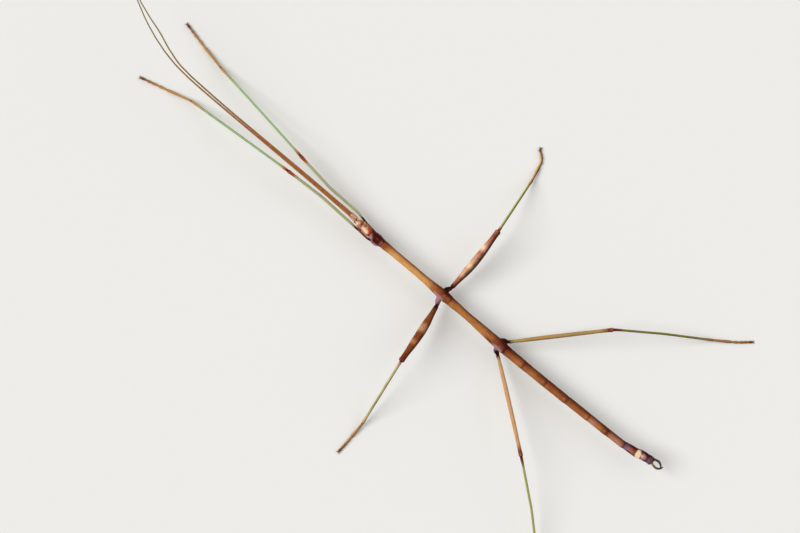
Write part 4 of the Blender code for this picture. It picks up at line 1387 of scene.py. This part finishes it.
class WALKINGSTICK_OT_claws(bpy.types.Operator):
    """Builds the two claws and the pad at the end of each foot"""

    bl_idname = "walkingstick.claws"
    bl_label = "Claws"

    # In the foot's own frame: ahead, outwards, up.
    CLAW = ((-0.08, 0.07, 0.22), (0.12, 0.14, 0.27), (0.30, 0.21, 0.25), (0.42, 0.25, 0.15),
            (0.46, 0.26, 0.03))

    def execute(self, context):
        colours = context.scene.walkingstick_colours
        root_radius = context.scene.walkingstick_sizes.claw_radius / MM
        material = horn_material("claw_horn", colours.brown, colours.horn)
        places = np.linspace(0.0, 1.0, 26)
        claw_radius = root_radius * (1 - places**1.6) + 0.006
        pad_places, cap = rounded(0.46, 0.03, 0.2, 0.2)
        for foot in (f"{pair}_{side_name}" for pair in PAIRS for side_name in SIDES):
            leg = f"leg_{foot}_"
            centres, _ = limb_core(leg + "tarsus", solid_box(leg + "claws")[2])
            ahead = unit((centres[0] - centres[3]) * (1.0, 1.0, 0.0))
            base = centres[0] * (1.0, 1.0, 0.0) + ahead * 0.05
            claws = Shell()
            for across in (-np.cross(ahead, UP), np.cross(ahead, UP)):
                knots = base + np.array(self.CLAW) @ np.array([ahead, across, UP])
                line = curve(np.linspace(0.0, 1.0, len(knots)), knots, places)
                claws.add("claw_horn", line, claw_radius, claw_radius * 1.15, 14, upward=across)
            line = base + ahead * (pad_places - 0.08)[:, None] + UP * 0.115
            claws.add("claw_horn", line, 0.155 * cap, 0.155 * cap * 0.8, 20, along=(0.0, 0.05),
                      mark=lambda *_: 0.9)
            placed(claws.build("claws_" + foot, [material]), "claw_brown", leg + "claws")
        return {"FINISHED"}


class WALKINGSTICK_OT_stage(bpy.types.Operator):
    """Sets the plain floor, the soft lights and the camera"""

    bl_idname = "walkingstick.stage"
    bl_label = "Stage"

    def execute(self, context):
        scene = context.scene
        stage = scene.walkingstick_stage
        low, high = CAD_BOX
        middle = Vector(((low.x + high.x) / 2, (low.y + high.y) / 2, 0.0))
        self.add_floor(stage, middle)
        self.add_lights(scene, stage, middle)
        self.add_camera(scene, stage, middle)
        scene.view_settings.view_transform = "Standard"
        return {"FINISHED"}

    def add_floor(self, stage, middle):
        mesh = bpy.data.meshes.new("floor")
        made = bmesh.new()
        bmesh.ops.create_grid(made, x_segments=4, y_segments=4, size=4.0)
        bmesh.ops.translate(made, verts=made.verts, vec=middle)
        made.to_mesh(mesh)
        made.free()
        mesh.materials.append(Recipe("floor_paint").finished({
            "Base Color": opaque(stage.floor),
            "Roughness": 1.0,
            "Specular IOR Level": 0.0,
        }))
        floor = linked("floor", mesh)

    def add_lights(self, scene, stage, middle):
        """Two lights so far off that they fall evenly over the floor, and an even sky."""
        for name, energy, spread, place in (
            ("key", stage.key, stage.key_spread, (330.0, -400.0, 480.0)),
            ("fill", stage.fill, stage.fill_spread, (-420.0, 380.0, 420.0)),
        ):
            data = bpy.data.lights.new(name, "SUN")
            data.energy = energy
            data.angle = spread
            light = linked(name, data)
            light.location = middle + Vector(place) * MM
            light.rotation_euler = (middle - light.location).to_track_quat("-Z", "Y").to_euler()
        world = bpy.data.worlds.new("studio")
        world.use_nodes = True
        sky = world.node_tree.nodes["Background"]
        sky.inputs["Color"].default_value = (1.0, 1.0, 1.0, 1.0)
        sky.inputs["Strength"].default_value = stage.sky
        scene.world = world

    def add_camera(self, scene, stage, middle):
        """Looks down on the back, leaning to the left and rolled about the line of sight."""
        sine, cosine = math.sin(stage.roll), math.cos(stage.roll)
        right, upward = Vector((-sine, cosine, 0.0)), Vector((-cosine, -sine, 0.0))
        facing = Matrix((right, upward, Vector((0.0, 0.0, 1.0)))).transposed()
        turned = (Matrix.Rotation(stage.tilt, 3, "Y") @ facing).to_4x4()
        aim = middle + Vector((stage.aim_left, stage.aim_back, 0.0))
        data = bpy.data.cameras.new("camera")
        data.lens = stage.lens
        data.sensor_width = 36.0
        data.clip_start = 0.01
        camera = linked("camera", data)
        camera.matrix_world = Matrix.Translation(aim + turned.col[2].xyz * stage.distance) @ turned
        scene.camera = camera


class WALKINGSTICK_PT_panel(bpy.types.Panel):
    """Lists the model's parts and its main sizes and colours"""

    bl_label = "Walkingstick"
    bl_space_type = "VIEW_3D"
    bl_region_type = "UI"
    bl_category = "Walkingstick"

    def draw(self, context):
        for operator in OPERATORS:
            self.layout.operator(operator.bl_idname)
        for name, group in GROUPS.items():
            box = self.layout.box()
            for field in group.__annotations__:
                box.prop(getattr(context.scene, name), field)


OPERATORS = (
    WALKINGSTICK_OT_stage,
    WALKINGSTICK_OT_skin,
    WALKINGSTICK_OT_eyes,
    WALKINGSTICK_OT_mouthparts,
    WALKINGSTICK_OT_claspers,
    WALKINGSTICK_OT_claws,
)
GROUPS = {
    "walkingstick_sizes": WalkingstickSizes,
    "walkingstick_colours": WalkingstickColours,
    "walkingstick_stage": WalkingstickStage,
}


def register():
    for name, group in GROUPS.items():
        bpy.utils.register_class(group)
        setattr(bpy.types.Scene, name, PointerProperty(type=group))
    for operator in OPERATORS:
        bpy.utils.register_class(operator)
    bpy.utils.register_class(WALKINGSTICK_PT_panel)


def unregister():
    bpy.utils.unregister_class(WALKINGSTICK_PT_panel)
    for operator in reversed(OPERATORS):
        bpy.utils.unregister_class(operator)
    for name, group in reversed(GROUPS.items()):
        delattr(bpy.types.Scene, name)
        bpy.utils.unregister_class(group)


def main():
    """Builds every piece in order."""
    register()
    bpy.ops.walkingstick.stage()
    bpy.ops.walkingstick.skin()
    bpy.ops.walkingstick.eyes()
    bpy.ops.walkingstick.mouthparts()
    bpy.ops.walkingstick.claspers()
    bpy.ops.walkingstick.claws()


if __name__ == "__main__":
    main()
